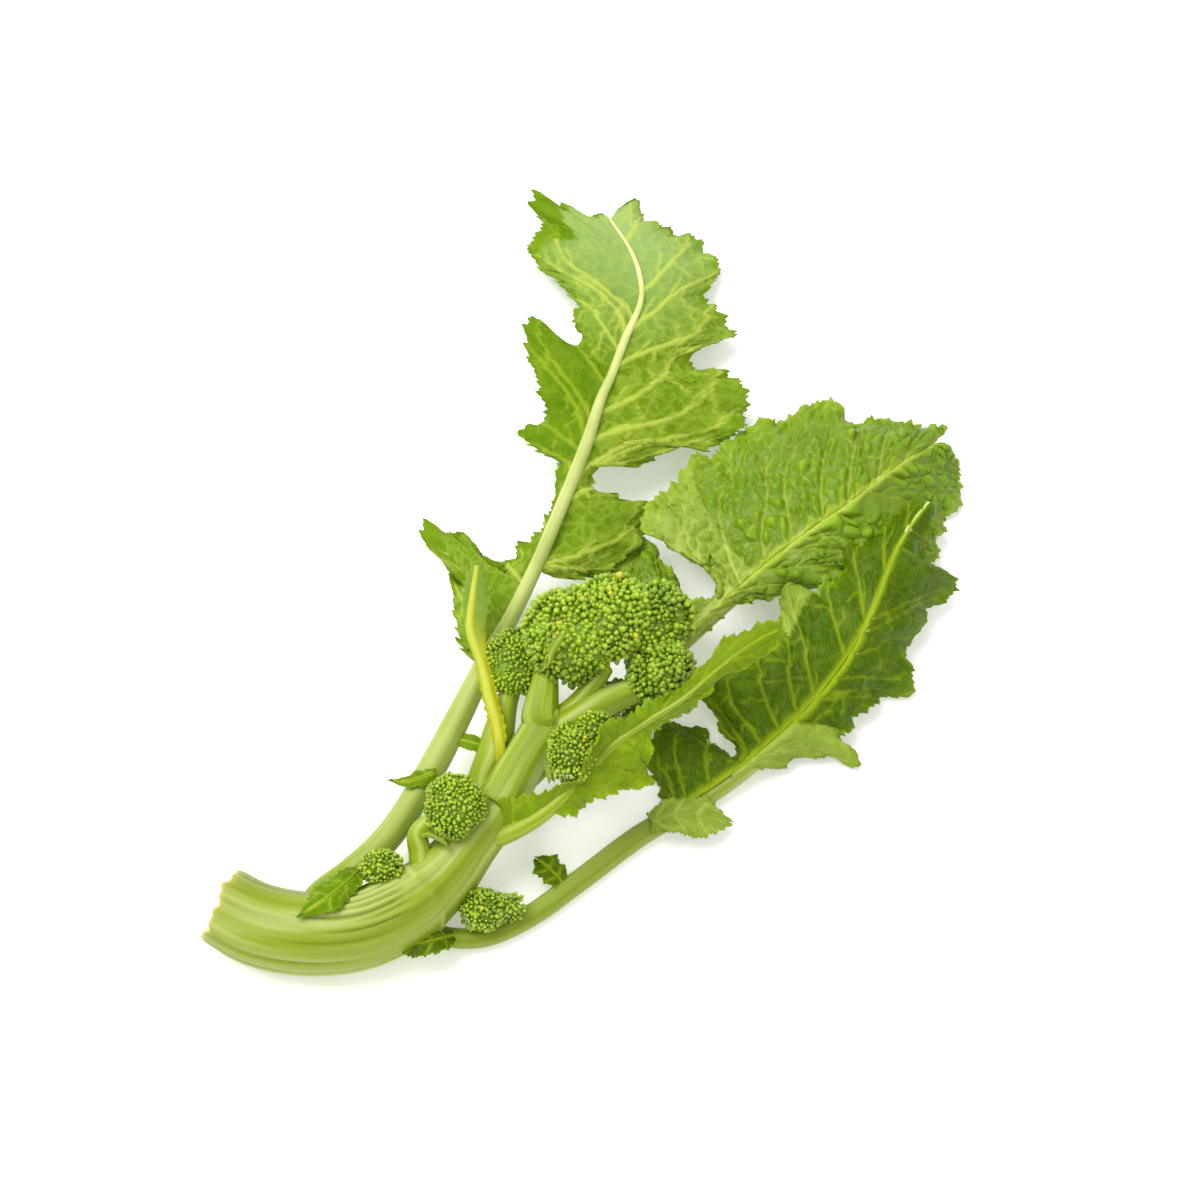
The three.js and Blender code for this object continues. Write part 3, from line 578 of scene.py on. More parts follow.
    verts, faces = grid_of(bm, pts)
    pale = np.clip((at - bloom[0]) / (bloom[1] - bloom[0]), 0, 1)
    flip = flip + curl * np.clip(0.5 + np.sin(run / 6.1 + seed) + 0.7 * np.sin(run / 2.9), 0, 1.6)
    folded = np.clip((s[None, :] - 1 + flip[:, None]) / 0.05, 0, 1) * (flip[:, None] > 0.02)
    first_under = look_up if hand > 0 else 1 - look_up
    # the quilt mask is the puff height; the finish paints shade into the low parts between the
    # puffs
    set_masks(bm, verts, (count, rows), vein=np.clip(v1 + 0.62 * v2 + 0.34 * v3, 0, 1),
              quilt=np.clip(pillow, 0, 1), midrib=v0, border=s, bloom=pale[:, None],
              flip=folded, under=first_under)
    before = len(bm.verts)
    for f in faces:
        f.normal_update()
    source, under = bm.verts.layers.int["source"], bm.verts.layers.float["under"]
    for k, v in enumerate(verts):
        v[source] = k
    depth = thick * (1 - 0.55 * s ** 4)
    below = pts - normals(pts) * depth[None, :, None]
    below[..., 2] = np.maximum(below[..., 2], TABLE_TOP)
    lower = place(below).transpose(1, 0, 2).reshape(-1, 3)
    bmesh.ops.solidify(bm, geom=list(faces), thickness=0.01 * MM)
    bm.verts.ensure_lookup_table()
    for v in bm.verts[before:]:
        v[under] = 1 - first_under
        v.co = lower[v[source]]


# %% Whole leaf
def petiole_shape(flat):
    def shape(u, angle):
        top = np.clip(np.sin(angle), 0, 1)
        return 1 - flat * top ** 3 + 0.025 * np.cos(7 * angle) + 0.015 * np.sin(2.1 * u + angle)
    return shape


def leaflet_halves(points):
    """Both edges of a small leaflet from the half widths along its centre line."""
    p = np.array(points, float)
    fwd = unit(np.gradient(p[:, :3], axis=0))
    side = unit(np.stack([-fwd[:, 1], fwd[:, 0], 0 * fwd[:, 0]], axis=1))
    halves = []
    for hand in (1, -1):
        rim = p[:, :3] + hand * side * p[:, 3:4]
        rim[-1] = p[-1, :3] + fwd[-1] * 1.0
        halves.append([[i * 0.98] + list(rim[i]) for i in range(len(points))])
    return halves


def leaf(name, line, left, right, slot_name, materials, look_up, leaflets=(), **more):
    """left and right: the edge, the edge points the side veins aim at, and extra settings."""
    bm = new_mesh()
    for hand, (edge, veins, extra) in ((1, left), (-1, right)):
        half_blade(bm, line, edge, hand, look_up, veins, **{**more, **extra})
    for k, (points, shows) in enumerate(leaflets):
        thin = [q[:3] + [0.5] for q in points]
        for hand, edge in zip((1, -1), leaflet_halves(points)):
            edge = [e + [shows] for e in edge]
            half_blade(bm, thin, edge, hand, 0, [0.8, 1.5, 2.2], step=0.4, rows=18, lift=0.8,
                       wave=1.5, tooth=1.7, tooth_step=3.4, puff=0.3, seed=k + 3.0,
                       spacing=2.0, thick=0.4, cell=2.0, swell=0.5)
    blade_faces = len(bm.faces)
    length = even_steps(line, 2)[1][-1]
    stalk(bm, [FEET[name]] + line, int(length / 1.2), 20,
          petiole_shape(0.10 if look_up == 0 else 0.0), first_cap=3, last_cap=3)
    bm.faces.ensure_lookup_table()
    for f in bm.faces[blade_faces:]:
        f.material_index = 1
    finish_piece(bm, name + "_fine", materials, [name])


# %% [markdown]
# Finishes. The mesh carries masks for the veins, the edges, the cut and the buds, and each
# finish mixes its colours by them. Small helpers add the nodes, so a finish reads as the
# list of its layers, from the bottom up.

# %% Node helpers
def new_group(name, inputs, outputs):
    group = bpy.data.node_groups.new(name, "ShaderNodeTree")
    for kind, direction in ((inputs, "INPUT"), (outputs, "OUTPUT")):
        for label, socket, value in kind:
            made = group.interface.new_socket(name=label, in_out=direction, socket_type=socket)
            if value is not None:
                made.default_value = value
    start = group.nodes.new("NodeGroupInput")
    end = group.nodes.new("NodeGroupOutput")
    return group, start, end


def node(tree, kind, links=(), **values):
    made = tree.nodes.new(kind)
    for key, value in values.items():
        setattr(made, key, value)
    for target, source in links:
        socket = made.inputs[target]
        if isinstance(source, bpy.types.NodeSocket):
            tree.links.new(source, socket)
        else:
            socket.default_value = source
    return made


def mixed(tree, factor, a, b):
    a, b = (c if isinstance(c, bpy.types.NodeSocket) else (*c, 1.0) for c in (a, b))
    made = node(tree, "ShaderNodeMix", [(0, factor), (6, a), (7, b)], data_type="RGBA")
    return made.outputs[2]


def math_node(tree, operation, a, b=0.0, clamp=False):
    made = node(tree, "ShaderNodeMath", [(0, a), (1, b)], operation=operation, use_clamp=clamp)
    return made.outputs[0]


def times(tree, a, b, clamp=False):
    return math_node(tree, "MULTIPLY", a, b, clamp)


def above(tree, value, low, slope):
    """0 below low, rising by slope, at most 1."""
    return times(tree, math_node(tree, "SUBTRACT", value, low), slope, True)


def mask(tree, label):
    """The mask of that name on the mesh."""
    return node(tree, "ShaderNodeAttribute", attribute_name=label).outputs["Fac"]


def new_material(name):
    made = bpy.data.materials.new(name)
    made.use_nodes = True
    made.node_tree.nodes.clear()
    return made, made.node_tree


def close_material(tree, shader):
    out = node(tree, "ShaderNodeOutputMaterial")
    tree.links.new(shader.outputs[0], out.inputs["Surface"])


# %% [markdown]
# The vein net: the edges of Voronoi cells look just like the finest veins of a leaf, once
# noise has bent them a little. A second output mottles the colour in soft patches. All
# leaves share this group, each at its own strength.

# %% Vein net group
net, net_in, net_out = new_group("Vein net", [("Cells per metre", "NodeSocketFloat", 900.0)],
                                 [("Lines", "NodeSocketFloat", None),
                                  ("Mottle", "NodeSocketFloat", None)])
where = node(net, "ShaderNodeTexCoord").outputs["Object"]
wobble = node(net, "ShaderNodeTexNoise", [("Vector", where), ("Scale", 300.0), ("Detail", 2.0)])
bent = node(net, "ShaderNodeMix", data_type="VECTOR", factor_mode="UNIFORM")
bent.inputs[0].default_value = 0.0006
net.links.new(where, bent.inputs[4])
net.links.new(wobble.outputs["Color"], bent.inputs[5])
big = node(net, "ShaderNodeTexVoronoi", [("Vector", bent.outputs[1]), ("Scale", net_in.outputs[0])],
           feature="DISTANCE_TO_EDGE")
lines = node(net, "ShaderNodeMapRange", [("Value", big.outputs["Distance"]), ("From Min", 0.0),
                                         ("From Max", 0.09), ("To Min", 1.0), ("To Max", 0.0)])
patches = node(net, "ShaderNodeTexNoise", [("Vector", where), ("Scale", 90.0), ("Detail", 3.0)])
net.links.new(lines.outputs["Result"], net_out.inputs["Lines"])
net.links.new(patches.outputs["Fac"], net_out.inputs["Mottle"])
print("vein net group ready")


# %% Leaf finish
def leaf_finish(name, upper, upper_deep, under, vein_upper, vein_under, rough_upper, glow,
                edge_tint, rough_under=0.55, bloomy=None, crease_shade=0.3, shine=0.18, rim_power=9.0,
                bloom_top=False):
    """A leaf skin: the upper face's layers, the underside's, and which of them shows."""
    made, tree = new_material(name)
    net_node = node(tree, "ShaderNodeGroup", node_tree=net)
    lines, mottle = net_node.outputs["Lines"], net_node.outputs["Mottle"]
    vein, rib = mask(tree, "vein"), mask(tree, "midrib")
    turned = math_node(tree, "ABSOLUTE",
                       math_node(tree, "SUBTRACT", mask(tree, "under"), mask(tree, "flip")))
    patches = above(tree, mottle, 0.35, 2.2)
    rim = math_node(tree, "POWER", mask(tree, "border"), rim_power)
    top = mixed(tree, patches, upper_deep, upper)
    # painted shade: the hollows between the quilt's puffs are darkened towards a deep green, by the
    # crease setting
    painted_hollow_shade = times(tree, math_node(tree, "SUBTRACT", 1.0, mask(tree, "quilt")), crease_shade)
    top = mixed(tree, painted_hollow_shade, top, tuple(0.45 * c for c in upper_deep))
    top = mixed(tree, times(tree, rim, 0.7), top, edge_tint)
    if bloom_top:
        top = mixed(tree, mask(tree, "bloom"), top, bloomy)
    top = mixed(tree, times(tree, lines, 0.16), top, vein_upper)
    strong = math_node(tree, "MAXIMUM", times(tree, vein, 0.55), rib, True)
    top = mixed(tree, strong, top, vein_upper)
    low = mixed(tree, patches, tuple(0.8 * c for c in under), under)
    if bloomy:
        low = mixed(tree, mask(tree, "bloom"), low, bloomy)
    low = mixed(tree, times(tree, rim, 0.85), low, edge_tint)
    low = mixed(tree, times(tree, lines, 0.22), low, vein_under)
    strong = math_node(tree, "MAXIMUM", times(tree, vein, 0.72), rib, True)
    low = mixed(tree, strong, low, vein_under)
    colour = mixed(tree, turned, top, low)
    gloss = node(tree, "ShaderNodeMapRange", [("Value", turned), ("To Min", rough_upper),
                                              ("To Max", rough_under)]).outputs["Result"]
    where = node(tree, "ShaderNodeTexCoord").outputs["Object"]
    fine = node(tree, "ShaderNodeTexNoise", [("Vector", where), ("Scale", 1500.0),
                                             ("Detail", 2.0)])
    high = math_node(tree, "SUBTRACT", fine.outputs["Fac"], times(tree, lines, 0.8))
    bump = node(tree, "ShaderNodeBump", [("Height", high), ("Strength", 0.35),
                                         ("Distance", 0.00025)]).outputs["Normal"]
    skin = node(tree, "ShaderNodeBsdfPrincipled", [("Base Color", colour), ("Roughness", gloss),
                                                   ("Normal", bump), ("Specular IOR Level", shine)])
    through = node(tree, "ShaderNodeBsdfTranslucent", [("Color", colour), ("Normal", bump)])
    both = node(tree, "ShaderNodeMixShader", [("Fac", glow), (1, skin.outputs[0]),
                                              (2, through.outputs[0])])
    close_material(tree, both)
    return made


# %% Stalk finish
# painted shade for the grooves of the stalks, a painted highlight for their crests, and the colour
# of pale streaks
GROOVE_SHADE, CREST_HIGHLIGHT, PALE_STREAK = (0.10, 0.15, 0.005), (0.55, 0.62, 0.22), (0.60, 0.67, 0.24)
PITH, BUNDLES = (0.56, 0.61, 0.24), (0.34, 0.44, 0.06)


def stalk_finish(name, base, tip, deep, along_power=1.0, cut_colour=None, groove=0.75,
                 streaks=0.3):
    """Green skin with fine lengthwise streaks, coloured base to tip; painted shade in grooves,
    painted highlight on crests.
    """
    made, tree = new_material(name)
    where = node(tree, "ShaderNodeTexCoord").outputs["Object"]
    patch = node(tree, "ShaderNodeTexNoise", [("Vector", where), ("Scale", 60.0), ("Detail", 4.0)])
    fleck = node(tree, "ShaderNodeTexNoise", [("Vector", where), ("Scale", 900.0),
                                              ("Detail", 2.0)])
    colour = mixed(tree, math_node(tree, "POWER", mask(tree, "along"), along_power), base, tip)
    colour = mixed(tree, above(tree, patch.outputs["Fac"], 0.4, 1.5), colour, deep)
    streak, ridge = mask(tree, "streak"), mask(tree, "ridge")
    light = times(tree, times(tree, streak, 1.8, True), streaks)
    colour = mixed(tree, light, colour, PALE_STREAK)
    shade = times(tree, times(tree, streak, -1.8, True), streaks)
    colour = mixed(tree, shade, colour, tuple(0.6 * c for c in deep))
    # painted shade: the grooves between the ribs are darkened, by the groove setting
    painted_hollow_shade = times(tree, times(tree, ridge, -16.0, True), groove)
    colour = mixed(tree, painted_hollow_shade, colour, GROOVE_SHADE)
    # painted highlight: the crests of the ribs are lightened
    painted_crest_highlight = times(tree, times(tree, ridge, 14.0, True), 0.35)
    colour = mixed(tree, painted_crest_highlight, colour, CREST_HIGHLIGHT)
    if cut_colour:
        colour = mixed(tree, mask(tree, "cut"), colour, cut_colour)
        colour = mixed(tree, mask(tree, "bloom"), colour, PITH)
        colour = mixed(tree, times(tree, mask(tree, "border"), 0.6), colour, BUNDLES)
    bump = node(tree, "ShaderNodeBump", [("Height", fleck.outputs["Fac"]), ("Strength", 0.15),
                                         ("Distance", 0.0003)])
    skin = node(tree, "ShaderNodeBsdfPrincipled",
                [("Base Color", colour), ("Roughness", 0.38), ("Normal", bump.outputs["Normal"]),
                 ("Subsurface Weight", 0.15), ("Subsurface Radius", (0.6, 1.0, 0.2)),
                 ("Subsurface Scale", 0.003), ("Specular IOR Level", 0.25)])
    close_material(tree, skin)
    return made


# %% Bud finish
YELLOW_TONE = 2.0       # the tone of the few buds that are about to open


def bud_finish(name):
    made, tree = new_material(name)
    tone = mask(tree, "tone")
    # the tone mask holds each bud's random tone together with its painted shade and painted light
    body = mixed(tree, math_node(tree, "MINIMUM", tone, 1.0), (0.11, 0.20, 0.001),
                 (0.31, 0.47, 0.005))
    tip = times(tree, math_node(tree, "POWER", mask(tree, "along"), 2.2),
                math_node(tree, "ADD", times(tree, tone, 0.8), 0.25, True))
    colour = mixed(tree, tip, body, (0.44, 0.60, 0.04))
    colour = mixed(tree, math_node(tree, "GREATER_THAN", tone, 1.5), colour, (0.60, 0.58, 0.03))
    skin = node(tree, "ShaderNodeBsdfPrincipled",
                [("Base Color", colour), ("Roughness", 0.36), ("Subsurface Weight", 0.2),
                 ("Subsurface Radius", (0.6, 1.0, 0.2)), ("Subsurface Scale", 0.001)])
    close_material(tree, skin)
    return made


# %% The finishes
STEM_SKIN = stalk_finish("stem_skin", (0.29, 0.345, 0.025), (0.25, 0.38, 0.0),
                         (0.22, 0.31, 0.002), cut_colour=(0.60, 0.50, 0.14), streaks=0.42,
                         groove=0.8)
SHOOT_SKIN = stalk_finish("shoot_skin", (0.30, 0.40, 0.015), (0.28, 0.40, 0.004),
                          (0.20, 0.30, 0.005), streaks=0.35)
RIB_SKIN = stalk_finish("petiole_skin", (0.21, 0.285, 0.004), (0.70, 0.78, 0.24),
                        (0.20, 0.31, 0.01), groove=0.15, streaks=0.15, along_power=2.4)
PALE_RIB = stalk_finish("pale_rib_skin", (0.23, 0.32, 0.006), (0.95, 0.96, 0.42),
                        (0.24, 0.34, 0.01), groove=0.12, streaks=0.15, along_power=1.25)
YOUNG_SKIN = stalk_finish("young_rib_skin", (0.30, 0.40, 0.01), (0.25, 0.36, 0.004),
                          (0.24, 0.35, 0.004), groove=0.3)
YELLOW_SKIN = stalk_finish("yellow_rib_skin", (0.50, 0.49, 0.001), (0.44, 0.52, 0.03),
                           (0.50, 0.52, 0.002), groove=0.15, streaks=0.1)
BUD_SKIN = bud_finish("bud_skin")
TALL_FACE = leaf_finish(
    "tall_leaf_face", (0.17, 0.32, 0.0), (0.11, 0.25, 0.0), (0.18, 0.34, 0.001),
    (0.46, 0.59, 0.03), (0.63, 0.74, 0.11), rough_upper=0.42, glow=0.2,
    edge_tint=(0.17, 0.33, 0.0), bloomy=(0.36, 0.54, 0.17), rim_power=4.5, shine=0.08)
BROAD_FACE = leaf_finish(
    "broad_leaf_face", (0.29, 0.48, 0.002), (0.19, 0.37, 0.001), (0.31, 0.47, 0.03),
    (0.52, 0.66, 0.06), (0.58, 0.70, 0.14), rough_upper=0.26, glow=0.18,
    edge_tint=(0.31, 0.49, 0.002), crease_shade=0.8, shine=0.32)
LONG_FACE = leaf_finish(
    "long_leaf_face", (0.095, 0.19, 0.0), (0.05, 0.12, 0.0), (0.30, 0.44, 0.04),
    (0.36, 0.50, 0.01), (0.48, 0.61, 0.10), rough_upper=0.34, glow=0.12,
    edge_tint=(0.17, 0.31, 0.0), crease_shade=0.55, shine=0.1)
FRONT_FACE = leaf_finish(
    "front_leaf_face", (0.30, 0.46, 0.0), (0.18, 0.32, 0.0), (0.24, 0.36, 0.003),
    (0.40, 0.53, 0.01), (0.42, 0.54, 0.02), rough_upper=0.36, glow=0.2,
    edge_tint=(0.36, 0.52, 0.002), crease_shade=0.5)
YELLOW_FACE = leaf_finish(
    "yellow_leaf_face", (0.27, 0.43, 0.06), (0.20, 0.35, 0.03), (0.34, 0.47, 0.06),
    (0.46, 0.56, 0.05), (0.50, 0.58, 0.04), rough_upper=0.42, glow=0.2,
    edge_tint=(0.44, 0.54, 0.01), bloomy=(0.46, 0.48, 0.002), bloom_top=True)
print("finishes", len(bpy.data.materials))

# %% [markdown]
# The main stem. It is a thick ribbed stalk, cut across at its lower end. The ribs are
# ridges that run its whole length, narrow grooves start and end between them, and a
# swollen ring marks where the leaves left it.

# %% Main stem
MAIN_STEM += [[*HEAD_STALK_LEFT[0][:3], 5.6], [*HEAD_STALK_LEFT[1][:3], 4.4],
              [*HEAD_STALK_LEFT[2][:3], 3.0]]
HEAD_STALK_LEFT.insert(0, [-18.5, -50, 25.5, 4.4])
HEAD_STALK_RIGHT.insert(0, [-16.5, -50, 25, 4.6])
LEFT_SHOOT_STALK.insert(0, [-34.5, -66, 16, 4.5])


# angle, depth, and the start and end along the stem
GROOVES = (
    (-1.1, 0.03, 2.0, 4.1), (-0.9, 0.04, 1.6, 4.2), (-0.7, 0.05, 2.3, 4.3),
    (-0.5, 0.05, 1.4, 4.2), (-0.33, 0.04, 2.7, 4.3), (-0.12, 0.05, 1.9, 4.1),
    (0.15, 0.025, 1.2, 3.6), (0.7, 0.018, 0.8, 3.0), (1.3, 0.018, 1.5, 3.4),
)
RING_AT, STEP_AT = 4.42, 4.5        # the swollen ring, and where the stem gets thinner


def stem_shape(u, angle):
    ridge = 0.010 * np.cos(5 * angle + 1.0) + 0.009 * np.cos(13 * angle + 0.3 * u)
    ridge = ridge + 0.006 * np.cos(29 * angle + 0.5 * np.sin(u))
    groove = 0.0
    for where_at, depth, start, end in GROOVES:
        turn = (angle - where_at - 1.9 - 0.05 * u + math.pi) % (2 * math.pi) - math.pi
        span = np.clip((u - start) / 0.9, 0, 1) * np.clip((end - u) / 0.4, 0, 1)
        groove = groove - depth * np.exp(-(turn / 0.032) ** 2) * span
        groove = groove + 0.4 * depth * np.exp(-((np.abs(turn) - 0.12) / 0.06) ** 2) * span
    tilt = 0.22 * np.sin(angle)
    lumps = np.clip(0.5 + 0.6 * np.sin(2 * angle + 0.6) + 0.4 * np.sin(7 * angle), 0, 1.3)
    ring = 0.05 * lumps * np.exp(-((u - RING_AT - tilt) / 0.07) ** 2)
    step = -0.05 / (1 + np.exp(-(u - STEP_AT - tilt) / 0.06)) * (angle > 0)
    fade = np.clip((9.2 - u) / 2.0, 0.35, 1)
    torn = np.exp(-u / 0.25) * (0.03 * np.sin(3 * angle + 0.5) + 0.02 * np.sin(8 * angle))
    return 1 + torn + (ridge + groove) * fade + ring + step * np.exp(-(u - STEP_AT) ** 2)


bm = new_mesh()
stalk(bm, MAIN_STEM, 300, 190, stem_shape, first_cap=18, last_cap=5, ragged=0.8)
finish_piece(bm, "stem_ribbed", [STEM_SKIN], ["main_stem"])

# %% Fork stalks, shoot stalks, and the short branch in the fork
def shoot_shape(u, angle):
    return 1 + 0.012 * np.cos(7 * angle + u) + 0.02 * np.cos(3 * angle + 1)


for name, line, along, around in (("head_stalk_left", HEAD_STALK_LEFT, 60, 48),
                                  ("head_stalk_right", HEAD_STALK_RIGHT, 60, 48),
                                  ("left_shoot_stalk", LEFT_SHOOT_STALK, 60, 48),
                                  ("short_shoot_stalk", SHORT_SHOOT_STALK, 60, 48),
                                  ("head_stalk_middle", MIDDLE_BRANCH, 40, 40)):
    bm = new_mesh()
    stalk(bm, line, along, around, shoot_shape)
    stands_for = [] if line is MIDDLE_BRANCH else [name]
    finish_piece(bm, name + "_fine", [SHOOT_SKIN], stands_for)

# %% [markdown]
# Flower heads. A head is a crowd of small umbels, and each umbel is a dome of closed
# buds, small in its middle and fat at its rim. One bud is shaped from a small sphere,
# pointed and pinched into four, and then added many times at its own size and turn.

# %% One bud
bud_bm = bmesh.new()
bmesh.ops.create_uvsphere(bud_bm, u_segments=8, v_segments=5, radius=1.0)
bud_along = bud_bm.verts.layers.float.new("along")
bud_tone = bud_bm.verts.layers.float.new("tone")
for v in bud_bm.verts:
    z = v.co.z
    v[bud_along] = 0.5 + 0.5 * z
    pinch = 1 + 0.10 * math.cos(4 * math.atan2(v.co.y, v.co.x)) * (1 - z * z)
    taper = 0.80 * (1 - 0.22 * max(z, 0))
    v.co.x *= taper * pinch
    v.co.y *= taper * pinch
bud_mesh = bpy.data.meshes.new("bud")
bud_bm.to_mesh(bud_mesh)
bud_points = np.zeros(len(bud_mesh.vertices) * 3, "f4")
bud_mesh.vertices.foreach_get("co", bud_points)
print("a bud has", len(bud_mesh.polygons), "faces")
rng = np.random.default_rng(11)


def add_bud(bm, at_mm, direction, size_mm, tone):
    """Add one bud with its base at a point, pointing outwards."""
    turn = Vector(direction).to_track_quat("Z", "Y").to_matrix().to_4x4()
    spin = Matrix.Rotation(rng.uniform(0, 6.28), 4, "Z")
    centre = Vector(place(np.asarray(at_mm) + np.asarray(direction) * size_mm * 0.5))
    matrix = Matrix.Translation(centre) @ turn @ spin @ Matrix.Scale(size_mm * 0.5 * MM, 4)
    tones = np.full(len(bud_mesh.vertices), tone, "f4")
    bud_mesh.attributes["tone"].data.foreach_set("value", tones)
    bud_mesh.transform(matrix)
    bm.from_mesh(bud_mesh)
    bud_mesh.vertices.foreach_set("co", bud_points)


# %% One flower head
RAYS = []               # start and end of every ray that carries an umbel
RAY_FOOT, RAY_TIP = 1.5, 0.8        # its radii, mm
BUD_FILL = 1.35         # buds laid for each one counted, so that no gap shows
YELLOW_SHARE = 0.012    # the part of the buds that is about to open
GOLD = math.pi * (3 - math.sqrt(5))     # the turn that spreads points evenly on a dome


def head(name, parts, node_name, hub, small=1.5, big_bud=2.5, painted_shade=0.0):
    """parts: centre, half sizes, umbels and buds per umbel of each dome; rays leave hub."""
    bm = bmesh.new()
    bm.from_mesh(bud_mesh)
    bmesh.ops.delete(bm, geom=bm.verts[:], context="VERTS")
    along, tone = bm.verts.layers.float["along"], bm.verts.layers.float["tone"]
    total = 0
    for centre, sizes, umbels, buds in parts:
        centre, sizes = np.array(centre, float), np.array(sizes, float)
        buds = int(buds * BUD_FILL)
        core = bmesh.ops.create_uvsphere(bm, u_segments=32, v_segments=20, radius=1.0)["verts"]
        for v in core:
            d = np.array(v.co)
            bump = 0.90 + 0.06 * noise.noise(Vector(d * 4))
            low = max(0.0, -d[2])
            d = d * sizes * bump * (1 - 0.35 * low * low)
            v.co = place(centre + d)
            v[tone], v[along] = 0.35, 0.0
        for k in range(umbels):
            lift = 1 - 1.25 * (k + 0.5) / umbels
            ring = math.sqrt(max(0.0, 1 - lift * lift))
            turn = GOLD * k + 0.4
            axis = np.array([ring * math.cos(turn), ring * math.sin(turn), lift])
            spot = centre + axis * sizes * rng.uniform(0.70, 0.90)
            # each umbel's random tone, lowered by the head's painted shade
            umbel_tone_and_shade = rng.normal(-painted_shade, 0.13)
            RAYS.append((hub, spot - axis * 1.5))
            outward = unit(axis / sizes)
            side = unit(np.cross(outward, [0.3, 0.5, 0.8]))
            other = np.cross(outward, side)
            reach = 1.12 * math.sqrt(4 * math.pi * sizes[0] * sizes[1] * 0.62 / umbels / math.pi)
            for m in range(buds):
                f = math.sqrt((m + 0.5) / buds)
                phi = GOLD * m + k
                lean = f * 1.15
                across = side * math.cos(phi) + other * math.sin(phi)
                d = outward * math.cos(lean) + across * math.sin(lean)
                d = unit(d + rng.normal(0, 0.10, 3))
                size = (small + (big_bud - small) * f ** 1.3) * rng.uniform(0.78, 1.15)
                p = spot + across * reach * f * 0.92
                p = p + outward * (1.7 * math.cos(lean) - 0.7) + rng.normal(0, 0.12, 3)
                # a bud's tone: random, plus its umbel's tone; painted light makes buds that face up
                # lighter, and buds at an umbel's rim are a little lighter
                shade = rng.normal(0.45, 0.2) + umbel_tone_and_shade + 0.15 * d[2] + 0.2 * (f - 0.5)
                shade = float(np.clip(shade, 0, 1))
                if rng.uniform() < YELLOW_SHARE:
                    shade = YELLOW_TONE
                add_bud(bm, p, d, size, shade)
                total += 1
    print(name, total, "buds")
    finish_piece(bm, name, [BUD_SKIN], [node_name])


# the four umbels of the crown, then the heads of the shoots and of the leaf axils
head("crown_left_buds", [((-8.5, -21, 35), (14.5, 15, 10), 22, 28)],
     "crown_florets_left", (-14.5, -28, 24))
head("crown_centre_buds", [((4, -16, 36.5), (12.5, 13.5, 10), 18, 26)],
     "crown_florets_centre", (-4, -25, 24))
# painted shade: the crown's two right umbels get darker buds
head("crown_right_upper_buds", [((15, -15, 33), (11.5, 11.5, 9), 15, 26)],
     "crown_florets_right_upper", (12, -27, 24), painted_shade=0.25)
head("crown_right_lower_buds", [((17.5, -30, 31), (9.5, 10.5, 8.5), 14, 26),
                                ((8, -36, 22), (8, 4.5, 4), 8, 12)],
     "crown_florets_right_lower", (12, -36, 23), painted_shade=0.3)
head("left_shoot_buds", [((-25, -26, 26), (9.5, 10.5, 8), 14, 30)],
     "left_shoot_florets", (-26.5, -32, 20), 1.1, 1.6)
head("short_shoot_buds", [((-42, -71.5, 28.5), (8.5, 9.5, 7.5), 13, 28)],
     "short_shoot_florets", (-47, -76, 23), 1.1, 1.6)
head("front_shoot_buds", [((-8, -57.5, 35.5), (6.3, 8.3, 5.6), 10, 26),
                          ((-1, -51, 36), (4.5, 4.5, 4), 6, 16)],
     "front_shoot_florets", (-10, -60, 30), 1.1, 1.7)
head("tall_axil_buds", [((-63, -87.5, 21.5), (5, 4, 3.2), 6, 20)],
     "axil_florets_tall_leaf", (-63, -88, 18), 1.0, 1.6)
head("long_axil_buds", [((-34, -97, 11.5), (5.5, 5.5, 4.5), 8, 22),
                        ((-27.5, -95.5, 10), (5, 2.8, 2.5), 5, 16)],
     "axil_florets_long_leaf", (-37, -97, 8), 1.0, 1.6)

# %% Rays of the umbels
bm = bmesh.new()
along_layer = bm.verts.layers.float.new("along")
for start, end in RAYS:
    a, b = Vector(place(start)), Vector(place(end))
    turn = (b - a).to_track_quat("Z", "Y").to_matrix().to_4x4()
    bmesh.ops.create_cone(bm, cap_ends=True, segments=8, radius1=RAY_FOOT * MM,
                          radius2=RAY_TIP * MM, depth=(b - a).length,
                          matrix=Matrix.Translation((a + b) / 2) @ turn)
for v in bm.verts:
    v[along_layer] = 0.6
finish_piece(bm, "umbel_rays", [SHOOT_SKIN], [])

# %% [markdown]
# Leaves. The tall leaf lies underside up, so its midrib stands proud and its blade is
# pale and matt. The broad leaf is strongly quilted, the long leaf dark and toothed, and
# the young front leaf is bright and folded along its middle.

# %% Tall leaf
leaf("tall_leaf", TALL,
     (TALL_LEFT, [3, 4, 8, 9.6, 13, 14.7, 17.3, 18.5, 20, 22.5, 24.5, 26.5], {}),
     (TALL_RIGHT, [2.4, 4, 6.2, 9, 11, 12.2, 14, 16.4, 18.3, 20.2, 22.4, 24.3], {}),
     "leaf_under", [TALL_FACE, PALE_RIB], 1,
     leaflets=[(TALL_DART, 0), (TALL_STRAP, 0), (TALL_BACK, 0)], puff=0.4, wave=1.3, rib=0.5,
     spacing=4.2, rows=46, step=0.8, rib_line=0.2, tooth=2.7, tooth_step=5.2,
     bloom=(12.2, 16.5), swell=0.35, vein_size=1.45, curl=0.07)

